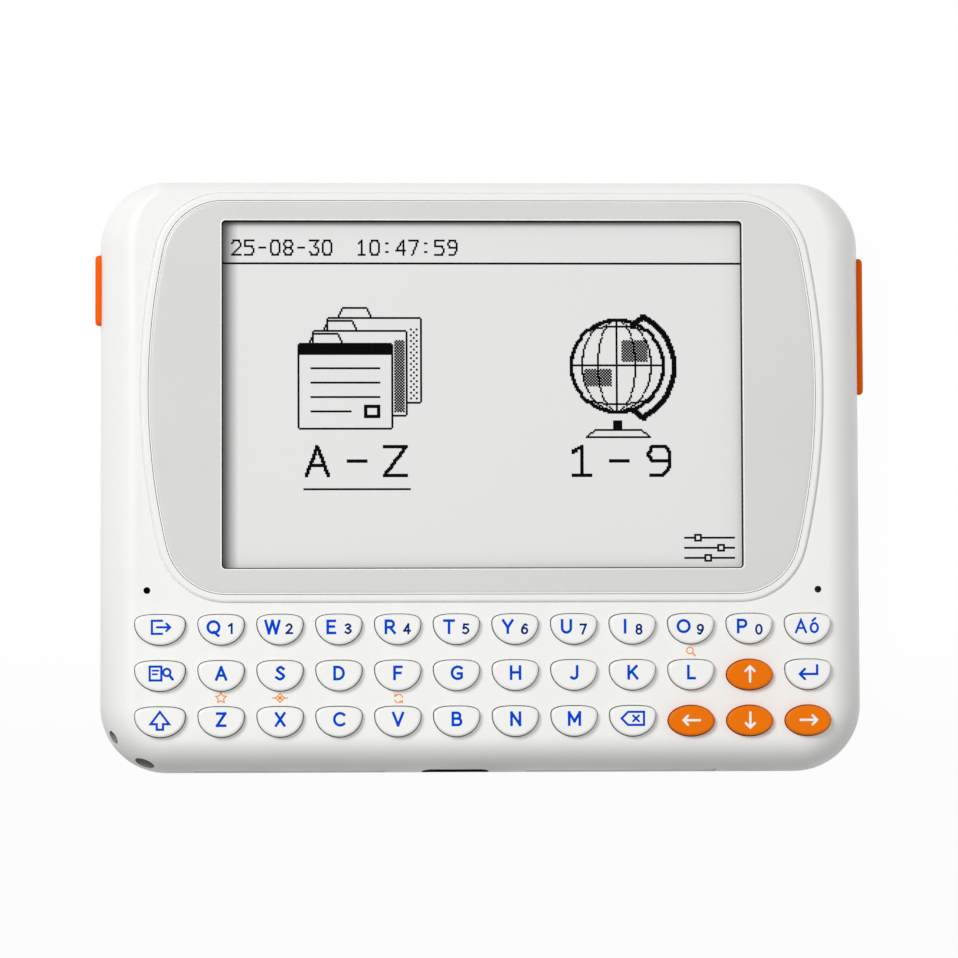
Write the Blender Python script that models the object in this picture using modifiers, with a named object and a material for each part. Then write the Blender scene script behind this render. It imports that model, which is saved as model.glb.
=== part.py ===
"""Electronic dictionary: a one-piece handheld with a screen panel, thirty-six keys and side buttons.

It lies on its back. The rear face is on Z = 0, the screen and keys face +Z, and the edge above
the screen is at +Y. All lengths are in metres and all angles in degrees.
"""

import math

import bmesh
import bpy

# Casing, as two shells that meet at the parting level
BODY_WIDTH = 0.1062
BODY_HEIGHT = 0.0825
CORNER_RADIUS = 0.0093
FACE_LEVEL = 0.0133
WIDEST_LEVEL = 0.0045
PARTING_LEVEL = 0.0036
WALL = 0.0015
SIDE_REACH = 0.0053
TOP_REACH = 0.0022
BOTTOM_REACH = 0.0050
BACK_REACH = 0.0030
BACK_EDGE_DEPTH = 0.0029
CAVITY_SIDE_REACH = 0.0017
CAVITY_TOP_REACH = 0.0010
CAVITY_BOTTOM_REACH = 0.0017
CAVITY_BACK_REACH = 0.0012
LIP_THICKNESS = 0.0008
LIP_HEIGHT = 0.0009
CORNER_STEPS = 8
EDGE_STEPS = 5
BACK_EDGE_STEPS = 4
CAVITY_EDGE_STEPS = 3
SMALL_CORNER_STEPS = 4

# Clearances shared by the whole part
SEAT = 0.0003
OVERRUN = 0.0010
WELD = 0.000001

# Raised rim round the screen panel, and the panel let into it
PANEL_SIDE_MARGIN = 0.0073
PANEL_TOP_MARGIN = 0.0036
PANEL_KEYPAD_GAP = 0.0030
PANEL_WAIST_RISE = 0.0009
PANEL_SIDE_RADIUS = 0.0940
PANEL_CORNER_RADIUS = 0.0083
PANEL_THICKNESS = 0.0008
RIM_WIDTH = 0.0014
RIM_RISE = 0.0005
RIM_EDGE = 0.0004
RIM_EDGE_DEPTH = 0.0003
PANEL_SIDE_STEPS = 8
PANEL_CORNER_STEPS = 6

# Screen window, the display behind it, and what holds the display
WINDOW_SIDE_MARGIN = 0.0098
WINDOW_TOP_MARGIN = 0.0026
WINDOW_BOTTOM_MARGIN = 0.0034
WINDOW_RADIUS = 0.0004
DISPLAY_SIDE_MARGIN = 0.0018
DISPLAY_END_MARGIN = 0.0013
DISPLAY_RADIUS = 0.0005
DISPLAY_THICKNESS = 0.0018
HOLDER_WALL = 0.0008
HOLDER_GRIP = 0.0004
FLEX_WIDTH = 0.0300
FLEX_THICKNESS = 0.0002
FLEX_BEND = 0.0006
FLEX_SLOT_DEPTH = 0.0006
CONNECTOR_WIDTH = 0.0330
CONNECTOR_LENGTH = 0.0014
CONNECTOR_HEIGHT = 0.0009
CONNECTOR_GAP = 0.0009

# Keys
KEYPAD_SIDE_MARGIN = 0.00505
KEYPAD_BOTTOM_MARGIN = 0.00478
KEY_GAP_X = 0.00164
KEY_GAP_Y = 0.00205
KEY_HEIGHT = 0.00431
WIDE_KEY_EXTRA = 0.0006
KEY_RISE = 0.0011
KEY_EDGE = 0.0004
KEY_EDGE_DEPTH = 0.0003
KEY_FLANGE = 0.0004
KEY_FLANGE_THICKNESS = 0.0006
KEY_HOLE_CLEARANCE = 0.00015
KEY_SIDES = 12
MOON_SHOULDER_SHARE = 0.30
MOON_SQUARENESS = 2.9
ROUND_SHOULDER_SHARE = 0.50
ROUND_SQUARENESS = 2.0
KEY_ROWS = (
    ("exit", "q", "w", "e", "r", "t", "y", "u", "i", "o", "p", "accent"),
    ("look_up", "a", "s", "d", "f", "g", "h", "j", "k", "l", "up", "enter"),
    ("shift", "z", "x", "c", "v", "b", "n", "m", "delete", "left", "down", "right"),
)
ARROWS = ("up", "left", "down", "right")

# Rubber mat under the keys, and the film of snap domes under the mat
MAT_THICKNESS = 0.0006
MAT_MARGIN = 0.0006
MAT_RADIUS = 0.0020
NIB_RADIUS = 0.0009
NIB_HEIGHT = 0.0003
NIB_SIDES = 6
FILM_THICKNESS = 0.00015
DOME_RADIUS = 0.0018
DOME_TOP_RADIUS = 0.0007
DOME_HEIGHT = 0.00015
DOME_SIDES = 6

# Circuit board and what is on it
BOARD_THICKNESS = 0.0008
BOARD_SIDE_GAP = 0.0027
BOARD_END_GAP = 0.0008
BOARD_RADIUS = 0.0060
BOARD_BOSS_GAP = 0.0004
CHIP_SIDE = 0.0120
CHIP_THICKNESS = 0.0010
CHIP_SIDE_DISTANCE = 0.0231
CHIP_TOP_DISTANCE = 0.0212
LIGHT_SIDE = 0.0016
LIGHT_HEIGHT = 0.0012

# Pin holes either side below the screen, and the microphone behind the left one
PIN_HOLE_RADIUS = 0.00048
PIN_HOLE_SIDES = 10
PIN_HOLE_SIDE_DISTANCE = 0.00665
PIN_HOLE_RISE = 0.00033
MICROPHONE_RADIUS = 0.0020
MICROPHONE_HEIGHT = 0.0015

# Side buttons and the switches that they press
BUTTON_LEVEL = 0.0059
BUTTON_THICKNESS = 0.0018
BUTTON_PROUD = 0.0007
BUTTON_EDGE = 0.0003
BUTTON_SLOT_CLEARANCE = 0.0002
BUTTON_LAP = 0.0003
BUTTON_FLANGE_THICKNESS = 0.0008
BUTTON_SETBACK = 0.0009
BUTTON_END_FLAT = 0.0001
POWER_TOP_DISTANCE = 0.01515
POWER_LENGTH = 0.0099
POWER_POST_LENGTH = 0.0007
POWER_POST_WIDTH = 0.0020
POST_THICKNESS = 0.0012
ROCKER_TOP_DISTANCE = 0.0202
ROCKER_LENGTH = 0.0192
ROCKER_END_CLEARANCE = 0.0004
ROCKER_POST_SPREAD = 0.0120
ROCKER_POST_LENGTH = 0.0005
NOSE_SIDES = 12
SWITCH_GAP = 0.0005
SWITCH_HEIGHT = 0.0024
SWITCH_DEPTH = 0.0022
POWER_SWITCH_LENGTH = 0.0034
ROCKER_SWITCH_LENGTH = 0.0150
PLUNGER_LENGTH = 0.0004
PLUNGER_WIDTH = 0.0014
PLUNGER_THICKNESS = 0.0008

# Charging port in the bottom edge, with a shallow recess on each side of it
PORT_X = -0.0037
PORT_WIDTH = 0.0089
PORT_THICKNESS = 0.0032
PORT_RADIUS = 0.0012
PORT_LENGTH = 0.0073
PORT_WALL = 0.0003
PORT_SETBACK = 0.0007
PORT_CLEARANCE = 0.0002
TONGUE_WIDTH = 0.0064
TONGUE_THICKNESS = 0.0007
TONGUE_RADIUS = 0.0003
TONGUE_LENGTH = 0.0048
TONGUE_BASE_LENGTH = 0.0014
GRIP_PORT_DISTANCE = 0.0098
GRIP_SIDE_MARGIN = 0.0131
GRIP_TOP_LEVEL = 0.0086
GRIP_DEPTH = 0.00025
GRIP_RADIUS = 0.0010

# Lanyard holes through the wall at the lower left corner
LANYARD_LEVEL = 0.0090
LANYARD_SIDE_ANGLE = 210.5
LANYARD_END_ANGLE = 249.0
LANYARD_SIDE_RADIUS = 0.0010
LANYARD_END_RADIUS = 0.0014
LANYARD_SIDES = 12

# Battery and speaker on the rear shell
BATTERY_LEFT_MARGIN = 0.0321
BATTERY_RIGHT_MARGIN = 0.0221
BATTERY_TOP_MARGIN = 0.0098
BATTERY_SPEAKER_GAP = 0.0055
BATTERY_THICKNESS = 0.0042
BATTERY_RADIUS = 0.0020
SPEAKER_SIDE_DISTANCE = 0.0231
SPEAKER_BOTTOM_DISTANCE = 0.0207
SPEAKER_RADIUS = 0.0100
SPEAKER_RIM_HEIGHT = 0.0016
SPEAKER_MAGNET_RADIUS = 0.0058
SPEAKER_HEIGHT = 0.0038
SPEAKER_SIDES = 24
GRILLE_PITCH = 0.0024
GRILLE_HOLE_RADIUS = 0.0006
GRILLE_HOLE_SIDES = 6
GRILLE_RINGS = 2
GRILLE_SPOKES = 6

# Case screws and the bosses that they run through
SCREW_SIDE_DISTANCE = 0.0059
UPPER_SCREW_DISTANCE = 0.0078
LOWER_SCREW_RISE = 0.0068
SCREW_SHANK_RADIUS = 0.0008
SCREW_LENGTH = 0.0074
SCREW_HEAD_RADIUS = 0.0016
SCREW_HEAD_HEIGHT = 0.0011
SCREW_HEAD_INSET = 0.0005
SCREW_SIDES = 12
BOSS_RADIUS = 0.0023
FRONT_BOSS_END = 0.0046
BOSS_SIDES = 12

# Levels that follow from the sizes above
CAVITY_TOP = FACE_LEVEL - WALL
RIM_TOP = FACE_LEVEL + RIM_RISE
PANEL_UNDERSIDE = RIM_TOP - PANEL_THICKNESS
DISPLAY_TOP = PANEL_UNDERSIDE - SEAT
DISPLAY_UNDERSIDE = DISPLAY_TOP - DISPLAY_THICKNESS
FLANGE_TOP = CAVITY_TOP - SEAT
MAT_TOP = FLANGE_TOP - KEY_FLANGE_THICKNESS - SEAT
MAT_UNDERSIDE = MAT_TOP - MAT_THICKNESS
DOME_TOP = MAT_UNDERSIDE - NIB_HEIGHT - SEAT
FILM_TOP = DOME_TOP - DOME_HEIGHT
FILM_UNDERSIDE = FILM_TOP - FILM_THICKNESS
BOARD_TOP = FILM_UNDERSIDE - SEAT
BOARD_UNDERSIDE = BOARD_TOP - BOARD_THICKNESS
REAR_TOP = PARTING_LEVEL - SEAT
REAR_FLOOR = WALL
PORT_LEVEL = BOARD_UNDERSIDE - SEAT - PORT_THICKNESS / 2
SWITCH_LEVEL = BOARD_UNDERSIDE - SEAT - SWITCH_HEIGHT / 2
HEAD_RECESS_TOP = SCREW_HEAD_INSET + SCREW_HEAD_HEIGHT + SEAT

# Places across the face, worked out from the casing's sides, its ends and the keypad
SIDE_X = BODY_WIDTH / 2
END_Y = BODY_HEIGHT / 2
KEY_COLUMNS = len(KEY_ROWS[0])
KEYPAD_WIDTH = BODY_WIDTH - 2 * KEYPAD_SIDE_MARGIN
KEY_WIDTH = (KEYPAD_WIDTH - WIDE_KEY_EXTRA - (KEY_COLUMNS - 1) * KEY_GAP_X) / KEY_COLUMNS
KEY_PITCH_X = KEY_WIDTH + KEY_GAP_X
KEY_PITCH_Y = KEY_HEIGHT + KEY_GAP_Y
KEY_TOP_ROW_Y = KEYPAD_BOTTOM_MARGIN - END_Y + KEY_HEIGHT / 2 + (len(KEY_ROWS) - 1) * KEY_PITCH_Y
LAST_COLUMN_X = SIDE_X - KEYPAD_SIDE_MARGIN - KEY_WIDTH / 2
PANEL_HALF_WIDTH = SIDE_X - PANEL_SIDE_MARGIN
PANEL_TOP = END_Y - PANEL_TOP_MARGIN
PANEL_BOTTOM = KEY_TOP_ROW_Y + KEY_HEIGHT / 2 + PANEL_KEYPAD_GAP
PANEL_WAIST = (PANEL_TOP + PANEL_BOTTOM) / 2 + PANEL_WAIST_RISE
WINDOW_TOP = PANEL_TOP - WINDOW_TOP_MARGIN
WINDOW_BOTTOM = PANEL_BOTTOM + WINDOW_BOTTOM_MARGIN
WINDOW_WIDTH = 2 * (PANEL_HALF_WIDTH - WINDOW_SIDE_MARGIN)
WINDOW_HEIGHT = WINDOW_TOP - WINDOW_BOTTOM
WINDOW_CENTRE = (0, (WINDOW_TOP + WINDOW_BOTTOM) / 2)
DISPLAY_WIDTH = WINDOW_WIDTH + 2 * DISPLAY_SIDE_MARGIN
DISPLAY_HEIGHT = WINDOW_HEIGHT + 2 * DISPLAY_END_MARGIN
DISPLAY_BOTTOM = WINDOW_BOTTOM - DISPLAY_END_MARGIN
PIN_HOLE_X = SIDE_X - PIN_HOLE_SIDE_DISTANCE
PIN_HOLE_Y = PANEL_BOTTOM + PIN_HOLE_RISE
POWER_Y = END_Y - POWER_TOP_DISTANCE
ROCKER_Y = END_Y - ROCKER_TOP_DISTANCE
BUTTON_FLANGE_X = SIDE_X - WALL - BUTTON_SETBACK
SPEAKER_X = SIDE_X - SPEAKER_SIDE_DISTANCE
SPEAKER_Y = SPEAKER_BOTTOM_DISTANCE - END_Y
SCREW_PLACES = tuple(
    (side * (SIDE_X - SCREW_SIDE_DISTANCE), height)
    for height in (END_Y - UPPER_SCREW_DISTANCE, PANEL_BOTTOM + LOWER_SCREW_RISE)
    for side in (-1, 1)
)

RIGHT_ANGLE = math.pi / 2
FLAT_ANGLE = math.radians(0.1)
SMOOTH_ANGLE = math.radians(35)

COLOURS = {
    "ivory": ((0.90, 0.895, 0.875), 0.42, 0.0),
    "grey": ((0.70, 0.70, 0.69), 0.35, 0.0),
    "orange": ((0.84, 0.16, 0.01), 0.40, 0.0),
    "display": ((0.77, 0.77, 0.77), 0.25, 0.0),
    "black": ((0.03, 0.03, 0.03), 0.50, 0.0),
    "rubber": ((0.60, 0.60, 0.58), 0.80, 0.0),
    "board": ((0.02, 0.16, 0.06), 0.45, 0.0),
    "film": ((0.75, 0.62, 0.35), 0.35, 0.0),
    "steel": ((0.60, 0.60, 0.62), 0.30, 1.0),
    "cell": ((0.25, 0.27, 0.32), 0.45, 0.3),
}


def new_collection(name, hidden=False):
    """Collection linked to the scene; one that holds cutters isn't rendered."""
    made = bpy.data.collections.new(name)
    made.hide_render = hidden
    bpy.context.scene.collection.children.link(made)
    return made


def new_material(name):
    """Principled material with the named finish."""
    colour, roughness, metallic = COLOURS[name]
    made = bpy.data.materials.new(name)
    made.use_nodes = True
    shader = made.node_tree.nodes["Principled BSDF"]
    shader.inputs["Base Color"].default_value = (*colour, 1.0)
    shader.inputs["Roughness"].default_value = roughness
    shader.inputs["Metallic"].default_value = metallic
    made.diffuse_color = (*colour, 1.0)
    return made


def add_object(name, mesh, where, finish=None):
    """Object of this mesh in a collection; a cutter has no finish and is drawn as wire."""
    made = bpy.data.objects.new(name, mesh)
    where.objects.link(made)
    if finish is None:
        made.hide_render = True
        made.display_type = "WIRE"
    elif not mesh.materials:
        mesh.materials.append(finish)
    return made


def to_mesh(name, bm):
    """Mesh of this bmesh with outward faces, shaded smooth over its round stretches."""
    bmesh.ops.recalc_face_normals(bm, faces=bm.faces)
    mesh = bpy.data.meshes.new(name)
    bm.to_mesh(mesh)
    bm.free()
    mesh.shade_smooth()
    mesh.set_sharp_from_angle(angle=SMOOTH_ANGLE)
    return mesh


def elliptical_arc(centre, radii, start, end, steps):
    """Points of an arc with both its ends; the angles are in degrees."""
    points = []
    for step in range(steps + 1):
        angle = math.radians(start + (end - start) * step / steps)
        points.append((centre[0] + radii[0] * math.cos(angle), centre[1] + radii[1] * math.sin(angle)))
    return points


def rounded_rectangle(width, height, radius, steps, centre=(0, 0)):
    """Rectangle with round corners, anticlockwise from its right side."""
    reach_x = width / 2 - radius
    reach_y = height / 2 - radius
    points = []
    for corner, (side, end) in enumerate(((1, 1), (-1, 1), (-1, -1), (1, -1))):
        middle = (centre[0] + side * reach_x, centre[1] + end * reach_y)
        points += elliptical_arc(middle, (radius, radius), 90 * corner, 90 * (corner + 1), steps)
    return points


def circle(centre, radius, sides):
    """Regular outline round a centre."""
    return elliptical_arc(centre, (radius, radius), 0, 360, sides)[:-1]


def casing_outline(side, top, bottom):
    """Outline of the casing drawn in by these three amounts."""
    reach_x = BODY_WIDTH / 2 - CORNER_RADIUS
    reach_y = BODY_HEIGHT / 2 - CORNER_RADIUS
    points = []
    for corner, (across, end) in enumerate(((1, 1), (-1, 1), (-1, -1), (1, -1))):
        drawn_in = top if end > 0 else bottom
        radii = (CORNER_RADIUS - side, CORNER_RADIUS - drawn_in)
        middle = (across * reach_x, end * reach_y)
        points += elliptical_arc(middle, radii, 90 * corner, 90 * (corner + 1), CORNER_STEPS)
    return points


def pillow_rings(inset, reaches, straight_level, widest_level, end_level, steps):
    """Rings of the casing: straight to the widest level, then in along a quarter ellipse."""
    side, top, bottom = reaches
    rings = [(casing_outline(inset, inset, inset), straight_level)]
    for step in range(steps + 1):
        turn = RIGHT_ANGLE * step / steps
        share = 1 - math.cos(turn)
        outline = casing_outline(inset + side * share, inset + top * share, inset + bottom * share)
        rings.append((outline, widest_level + (end_level - widest_level) * math.sin(turn)))
    return rings


def barrel_outline(grow):
    """Screen panel outline grown by this much: flat top and bottom, bulging sides, round corners."""
    side_radius = PANEL_SIDE_RADIUS + grow
    corner_radius = PANEL_CORNER_RADIUS + grow
    side_centre_x = PANEL_HALF_WIDTH - PANEL_SIDE_RADIUS
    upper_y = PANEL_TOP - PANEL_CORNER_RADIUS
    lower_y = PANEL_BOTTOM + PANEL_CORNER_RADIUS
    spread = side_radius - corner_radius
    upper_turn = math.degrees(math.asin((upper_y - PANEL_WAIST) / spread))
    lower_turn = math.degrees(math.asin((lower_y - PANEL_WAIST) / spread))
    upper_x = side_centre_x + spread * math.cos(math.radians(upper_turn))
    lower_x = side_centre_x + spread * math.cos(math.radians(lower_turn))
    half = elliptical_arc(
        (lower_x, lower_y), (corner_radius, corner_radius), -90, lower_turn, PANEL_CORNER_STEPS
    )
    half += elliptical_arc(
        (side_centre_x, PANEL_WAIST), (side_radius, side_radius), lower_turn, upper_turn, PANEL_SIDE_STEPS
    )[1:-1]
    half += elliptical_arc(
        (upper_x, upper_y), (corner_radius, corner_radius), upper_turn, 90, PANEL_CORNER_STEPS
    )
    return half + [(-x, y) for x, y in reversed(half)]


def key_outline(width, grow, round_key):
    """Key outline grown by this much: a half moon, or an ellipse for a round key."""
    shoulder_share = ROUND_SHOULDER_SHARE if round_key else MOON_SHOULDER_SHARE
    squareness = ROUND_SQUARENESS if round_key else MOON_SQUARENESS
    shoulder_y = KEY_HEIGHT / 2 - KEY_HEIGHT * shoulder_share
    above = KEY_HEIGHT * shoulder_share + grow
    below = KEY_HEIGHT * (1 - shoulder_share) + grow
    points = []
    for side in range(KEY_SIDES):
        across = math.cos(math.tau * side / KEY_SIDES)
        up = math.sin(math.tau * side / KEY_SIDES)
        if up > 0:
            x = math.copysign(abs(across) ** (2 / squareness), across)
            y = above * up ** (2 / squareness)
        else:
            x = across
            y = below * up
        points.append((x * (width / 2 + grow), shoulder_y + y))
    return points


def loft(name, rings):
    """Closed mesh through rings of (outline, level) that all have as many points."""
    bm = bmesh.new()
    outline, level = rings[0]
    bmesh.ops.create_circle(bm, cap_ends=True, radius=BODY_WIDTH, segments=len(outline))
    bm.faces.ensure_lookup_table()
    face = bm.faces[0]
    for corner, (x, y) in zip(face.loops, outline):
        corner.vert.co = (x, y, level)
    for number, (outline, level) in enumerate(rings[1:]):
        made = bmesh.ops.extrude_face_region(bm, geom=[face])
        if number:
            bmesh.ops.delete(bm, geom=[face], context="FACES_ONLY")
        face = next(item for item in made["geom"] if isinstance(item, bmesh.types.BMFace))
        for corner, (x, y) in zip(face.loops, outline):
            corner.vert.co = (x, y, level)
    return to_mesh(name, bm)


def plate(name, outlines, low, high):
    """Flat mesh between two levels: the first outline is its edge, or all are, and inner ones are holes."""
    data = bpy.data.curves.new(name, "CURVE")
    data.dimensions = "2D"
    data.fill_mode = "BOTH"
    data.extrude = (high - low) / 2
    for outline in outlines:
        spline = data.splines.new("POLY")
        spline.points.add(len(outline) - 1)
        for point, (x, y) in zip(spline.points, outline):
            point.co = (x, y, 0, 1)
        spline.use_cyclic_u = True
    guide = bpy.data.objects.new(name + "_outline", data)
    guide.location.z = (low + high) / 2
    bpy.context.scene.collection.objects.link(guide)
    return mesh_of_curve(name, guide)


def mesh_of_curve(name, guide):
    """Welded mesh of a curve object in world places; the curve is removed."""
    graph = bpy.context.evaluated_depsgraph_get()
    flat = bpy.data.meshes.new_from_object(guide.evaluated_get(graph))
    bm = bmesh.new()
    bm.from_mesh(flat)
    bmesh.ops.transform(bm, matrix=guide.matrix_world, verts=bm.verts)
    bmesh.ops.remove_doubles(bm, verts=bm.verts, dist=WELD)
    bmesh.ops.dissolve_limit(bm, angle_limit=FLAT_ANGLE, verts=bm.verts, edges=bm.edges)
    bpy.data.meshes.remove(flat)
    bpy.data.curves.remove(guide.data)
    return to_mesh(name, bm)


def rods(name, places, radius, low, high, sides, top_radius=None):
    """Mesh of upright cylinders or cones, one at each place, in one mesh."""
    bm = bmesh.new()
    for x, y in places:
        made = bmesh.ops.create_cone(
            bm,
            cap_ends=True,
            segments=sides,
            radius1=radius,
            radius2=radius if top_radius is None else top_radius,
            depth=high - low,
        )
        bmesh.ops.translate(bm, vec=(x, y, (low + high) / 2), verts=made["verts"])
    return to_mesh(name, bm)


def turned(name, profile, sides, where, finish, place):
    """Object turned about an upright axis from (radius, level) points that run from top to bottom."""
    bm = bmesh.new()
    corners = [bm.verts.new((radius, 0, level)) for radius, level in profile]
    for upper, lower in zip(corners, corners[1:]):
        bm.edges.new((upper, lower))
    mesh = bpy.data.meshes.new(name)
    bm.to_mesh(mesh)
    bm.free()
    made = add_object(name, mesh, where, finish)
    made.location = (*place, 0)
    screw = made.modifiers.new("turn", "SCREW")
    screw.steps = sides
    screw.render_steps = sides
    screw.use_merge_vertices = True
    screw.merge_threshold = WELD
    return made


def block(name, size, centre):
    """Box mesh of this size round a centre."""
    bm = bmesh.new()
    bmesh.ops.create_cube(bm, size=1)
    bmesh.ops.scale(bm, vec=size, verts=bm.verts)
    bmesh.ops.translate(bm, vec=centre, verts=bm.verts)
    return to_mesh(name, bm)


def combine(target, other, operation):
    """Keeps a Boolean of the other object on the target."""
    modifier = target.modifiers.new(other.name, "BOOLEAN")
    modifier.operation = operation
    modifier.solver = "EXACT"
    modifier.object = other


def cut(target, cutter):
    """Takes the cutter's shape out of the target."""
    combine(target, cutter, "DIFFERENCE")


def add(target, other):
    """Joins the other shape to the target."""
    combine(target, other, "UNION")


def key_places():
    """Every key as (name, width, is it a round arrow key, x, y), row by row."""
    places = []
    for row, names in enumerate(KEY_ROWS):
        y = KEY_TOP_ROW_Y - KEY_PITCH_Y * row
        for column, name in enumerate(names):
            width = KEY_WIDTH if column else KEY_WIDTH + WIDE_KEY_EXTRA
            x = LAST_COLUMN_X - KEY_PITCH_X * (KEY_COLUMNS - 1 - column) - (width - KEY_WIDTH) / 2
            places.append((name, width, name in ARROWS, x, y))
    return places


def moved(outline, x, y):
    """Outline shifted to a place."""
    return [(point_x + x, point_y + y) for point_x, point_y in outline]


def button_rings(length, slices):
    """Rings of a side button, each slice a (length change, thickness change, level) of its outline."""
    rings = []
    for longer, thicker, level in slices:
        thickness = BUTTON_THICKNESS + thicker
        radius = (thickness - BUTTON_END_FLAT) / 2
        outline = rounded_rectangle(length + longer, thickness, radius, SMALL_CORNER_STEPS)
        rings.append((outline, level))
    return rings


def turn_to_side(obj, side, y, level, x=0):
    """Stands an object modelled face up so that its face looks out to the left (-1) or the right (1)."""
    obj.location = (x, y, level)
    obj.rotation_euler = (RIGHT_ANGLE, 0, side * RIGHT_ANGLE)


def build_front_shell(parts, cutters, finish):
    """Front shell: a hollow pillow with the raised rim, the panel's bed and every opening of the face."""
    reaches = (SIDE_REACH, TOP_REACH, BOTTOM_REACH)
    rings = pillow_rings(0, reaches, PARTING_LEVEL, WIDEST_LEVEL, FACE_LEVEL, EDGE_STEPS)
    shell = add_object("front_shell", loft("front_shell", rings), parts, finish)

    rim = loft(
        "rim",
        [
            (barrel_outline(RIM_WIDTH), CAVITY_TOP + SEAT),
            (barrel_outline(RIM_WIDTH), RIM_TOP - RIM_EDGE_DEPTH),
            (barrel_outline(RIM_WIDTH - RIM_EDGE), RIM_TOP),
        ],
    )
    add(shell, add_object("rim", rim, cutters))

    reaches = (CAVITY_SIDE_REACH, CAVITY_TOP_REACH, CAVITY_BOTTOM_REACH)
    rings = pillow_rings(
        WALL, reaches, PARTING_LEVEL - OVERRUN, WIDEST_LEVEL, CAVITY_TOP, CAVITY_EDGE_STEPS
    )
    cut(shell, add_object("front_cavity", loft("front_cavity", rings), cutters))

    bosses = rods("front_bosses", SCREW_PLACES, BOSS_RADIUS, FRONT_BOSS_END, CAVITY_TOP + SEAT, BOSS_SIDES)
    add(shell, add_object("front_bosses", bosses, cutters))
    pilots = rods(
        "pilot_holes",
        SCREW_PLACES,
        SCREW_SHANK_RADIUS + SEAT,
        FRONT_BOSS_END - OVERRUN,
        SCREW_HEAD_INSET + SCREW_HEAD_HEIGHT + SCREW_LENGTH + SEAT,
        SCREW_SIDES,
    )
    cut(shell, add_object("pilot_holes", pilots, cutters))

    bed = plate("panel_bed", [barrel_outline(SEAT)], PANEL_UNDERSIDE - SEAT, RIM_TOP + OVERRUN)
    cut(shell, add_object("panel_bed", bed, cutters))
    window = rounded_rectangle(
        DISPLAY_WIDTH + 2 * SEAT,
        DISPLAY_HEIGHT + 2 * SEAT,
        DISPLAY_RADIUS + SEAT,
        SMALL_CORNER_STEPS,
        WINDOW_CENTRE,
    )
    opening = plate("display_opening", [window], CAVITY_TOP - OVERRUN, RIM_TOP + OVERRUN)
    cut(shell, add_object("display_opening", opening, cutters))

    holes = [
        moved(key_outline(width, KEY_HOLE_CLEARANCE, round_key), x, y)
        for _, width, round_key, x, y in key_places()
    ]
    key_holes = plate("key_holes", holes, CAVITY_TOP - OVERRUN, FACE_LEVEL + OVERRUN)
    cut(shell, add_object("key_holes", key_holes, cutters))
    pins = ((-PIN_HOLE_X, PIN_HOLE_Y), (PIN_HOLE_X, PIN_HOLE_Y))
    pin_holes = rods(
        "pin_holes", pins, PIN_HOLE_RADIUS, CAVITY_TOP - OVERRUN, FACE_LEVEL + OVERRUN, PIN_HOLE_SIDES
    )
    cut(shell, add_object("pin_holes", pin_holes, cutters))

    cut_side_slots(shell, cutters)
    cut_bottom_edge(shell, cutters)
    cut_lanyard_holes(shell, cutters)


def cut_side_slots(shell, cutters):
    """Slots in the side walls, through which the two side buttons stand out."""
    grow = 2 * BUTTON_SLOT_CLEARANCE
    inner = BODY_WIDTH / 2 - WALL - OVERRUN
    outer = BODY_WIDTH / 2 + OVERRUN
    for name, side, y, length, extra in (
        ("power_slot", -1, POWER_Y, POWER_LENGTH, grow),
        ("rocker_slot", 1, ROCKER_Y, ROCKER_LENGTH, 2 * ROCKER_END_CLEARANCE),
    ):
        rings = button_rings(length, ((extra, grow, inner), (extra, grow, outer)))
        slot = add_object(name, loft(name, rings), cutters)
        turn_to_side(slot, side, y, BUTTON_LEVEL)
        cut(shell, slot)


def cut_bottom_edge(shell, cutters):
    """Port opening and the two long shallow recesses beside it, in the bottom edge."""
    outline = rounded_rectangle(
        PORT_WIDTH + 2 * PORT_CLEARANCE,
        PORT_THICKNESS + 2 * PORT_CLEARANCE,
        PORT_RADIUS + PORT_CLEARANCE,
        SMALL_CORNER_STEPS,
    )
    inner = BODY_HEIGHT / 2 - WALL - OVERRUN
    mouth = plate("port_opening", [outline], inner, BODY_HEIGHT / 2 + OVERRUN)
    opening = add_object("port_opening", mouth, cutters)
    opening.location = (PORT_X, 0, PORT_LEVEL)
    opening.rotation_euler = (RIGHT_ANGLE, 0, 0)
    cut(shell, opening)

    reaches = (SIDE_REACH, TOP_REACH, BOTTOM_REACH)
    rings = pillow_rings(
        GRIP_DEPTH, reaches, PARTING_LEVEL - 2 * OVERRUN, WIDEST_LEVEL, FACE_LEVEL - GRIP_DEPTH, EDGE_STEPS
    )
    core = add_object("grip_core", loft("grip_core", rings), cutters)
    low = PARTING_LEVEL - OVERRUN
    height = GRIP_TOP_LEVEL - low
    length = SIDE_X + PORT_X - GRIP_SIDE_MARGIN - GRIP_PORT_DISTANCE
    offset = GRIP_PORT_DISTANCE + length / 2
    outlines = [
        rounded_rectangle(length, height, GRIP_RADIUS, SMALL_CORNER_STEPS, (side * offset, 0))
        for side in (-1, 1)
    ]
    grips = add_object("grips", plate("grips", outlines, inner, BODY_HEIGHT / 2 + OVERRUN), cutters)
    grips.location = (PORT_X, 0, low + height / 2)
    grips.rotation_euler = (RIGHT_ANGLE, 0, 0)
    cut(grips, core)
    cut(shell, grips)


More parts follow.
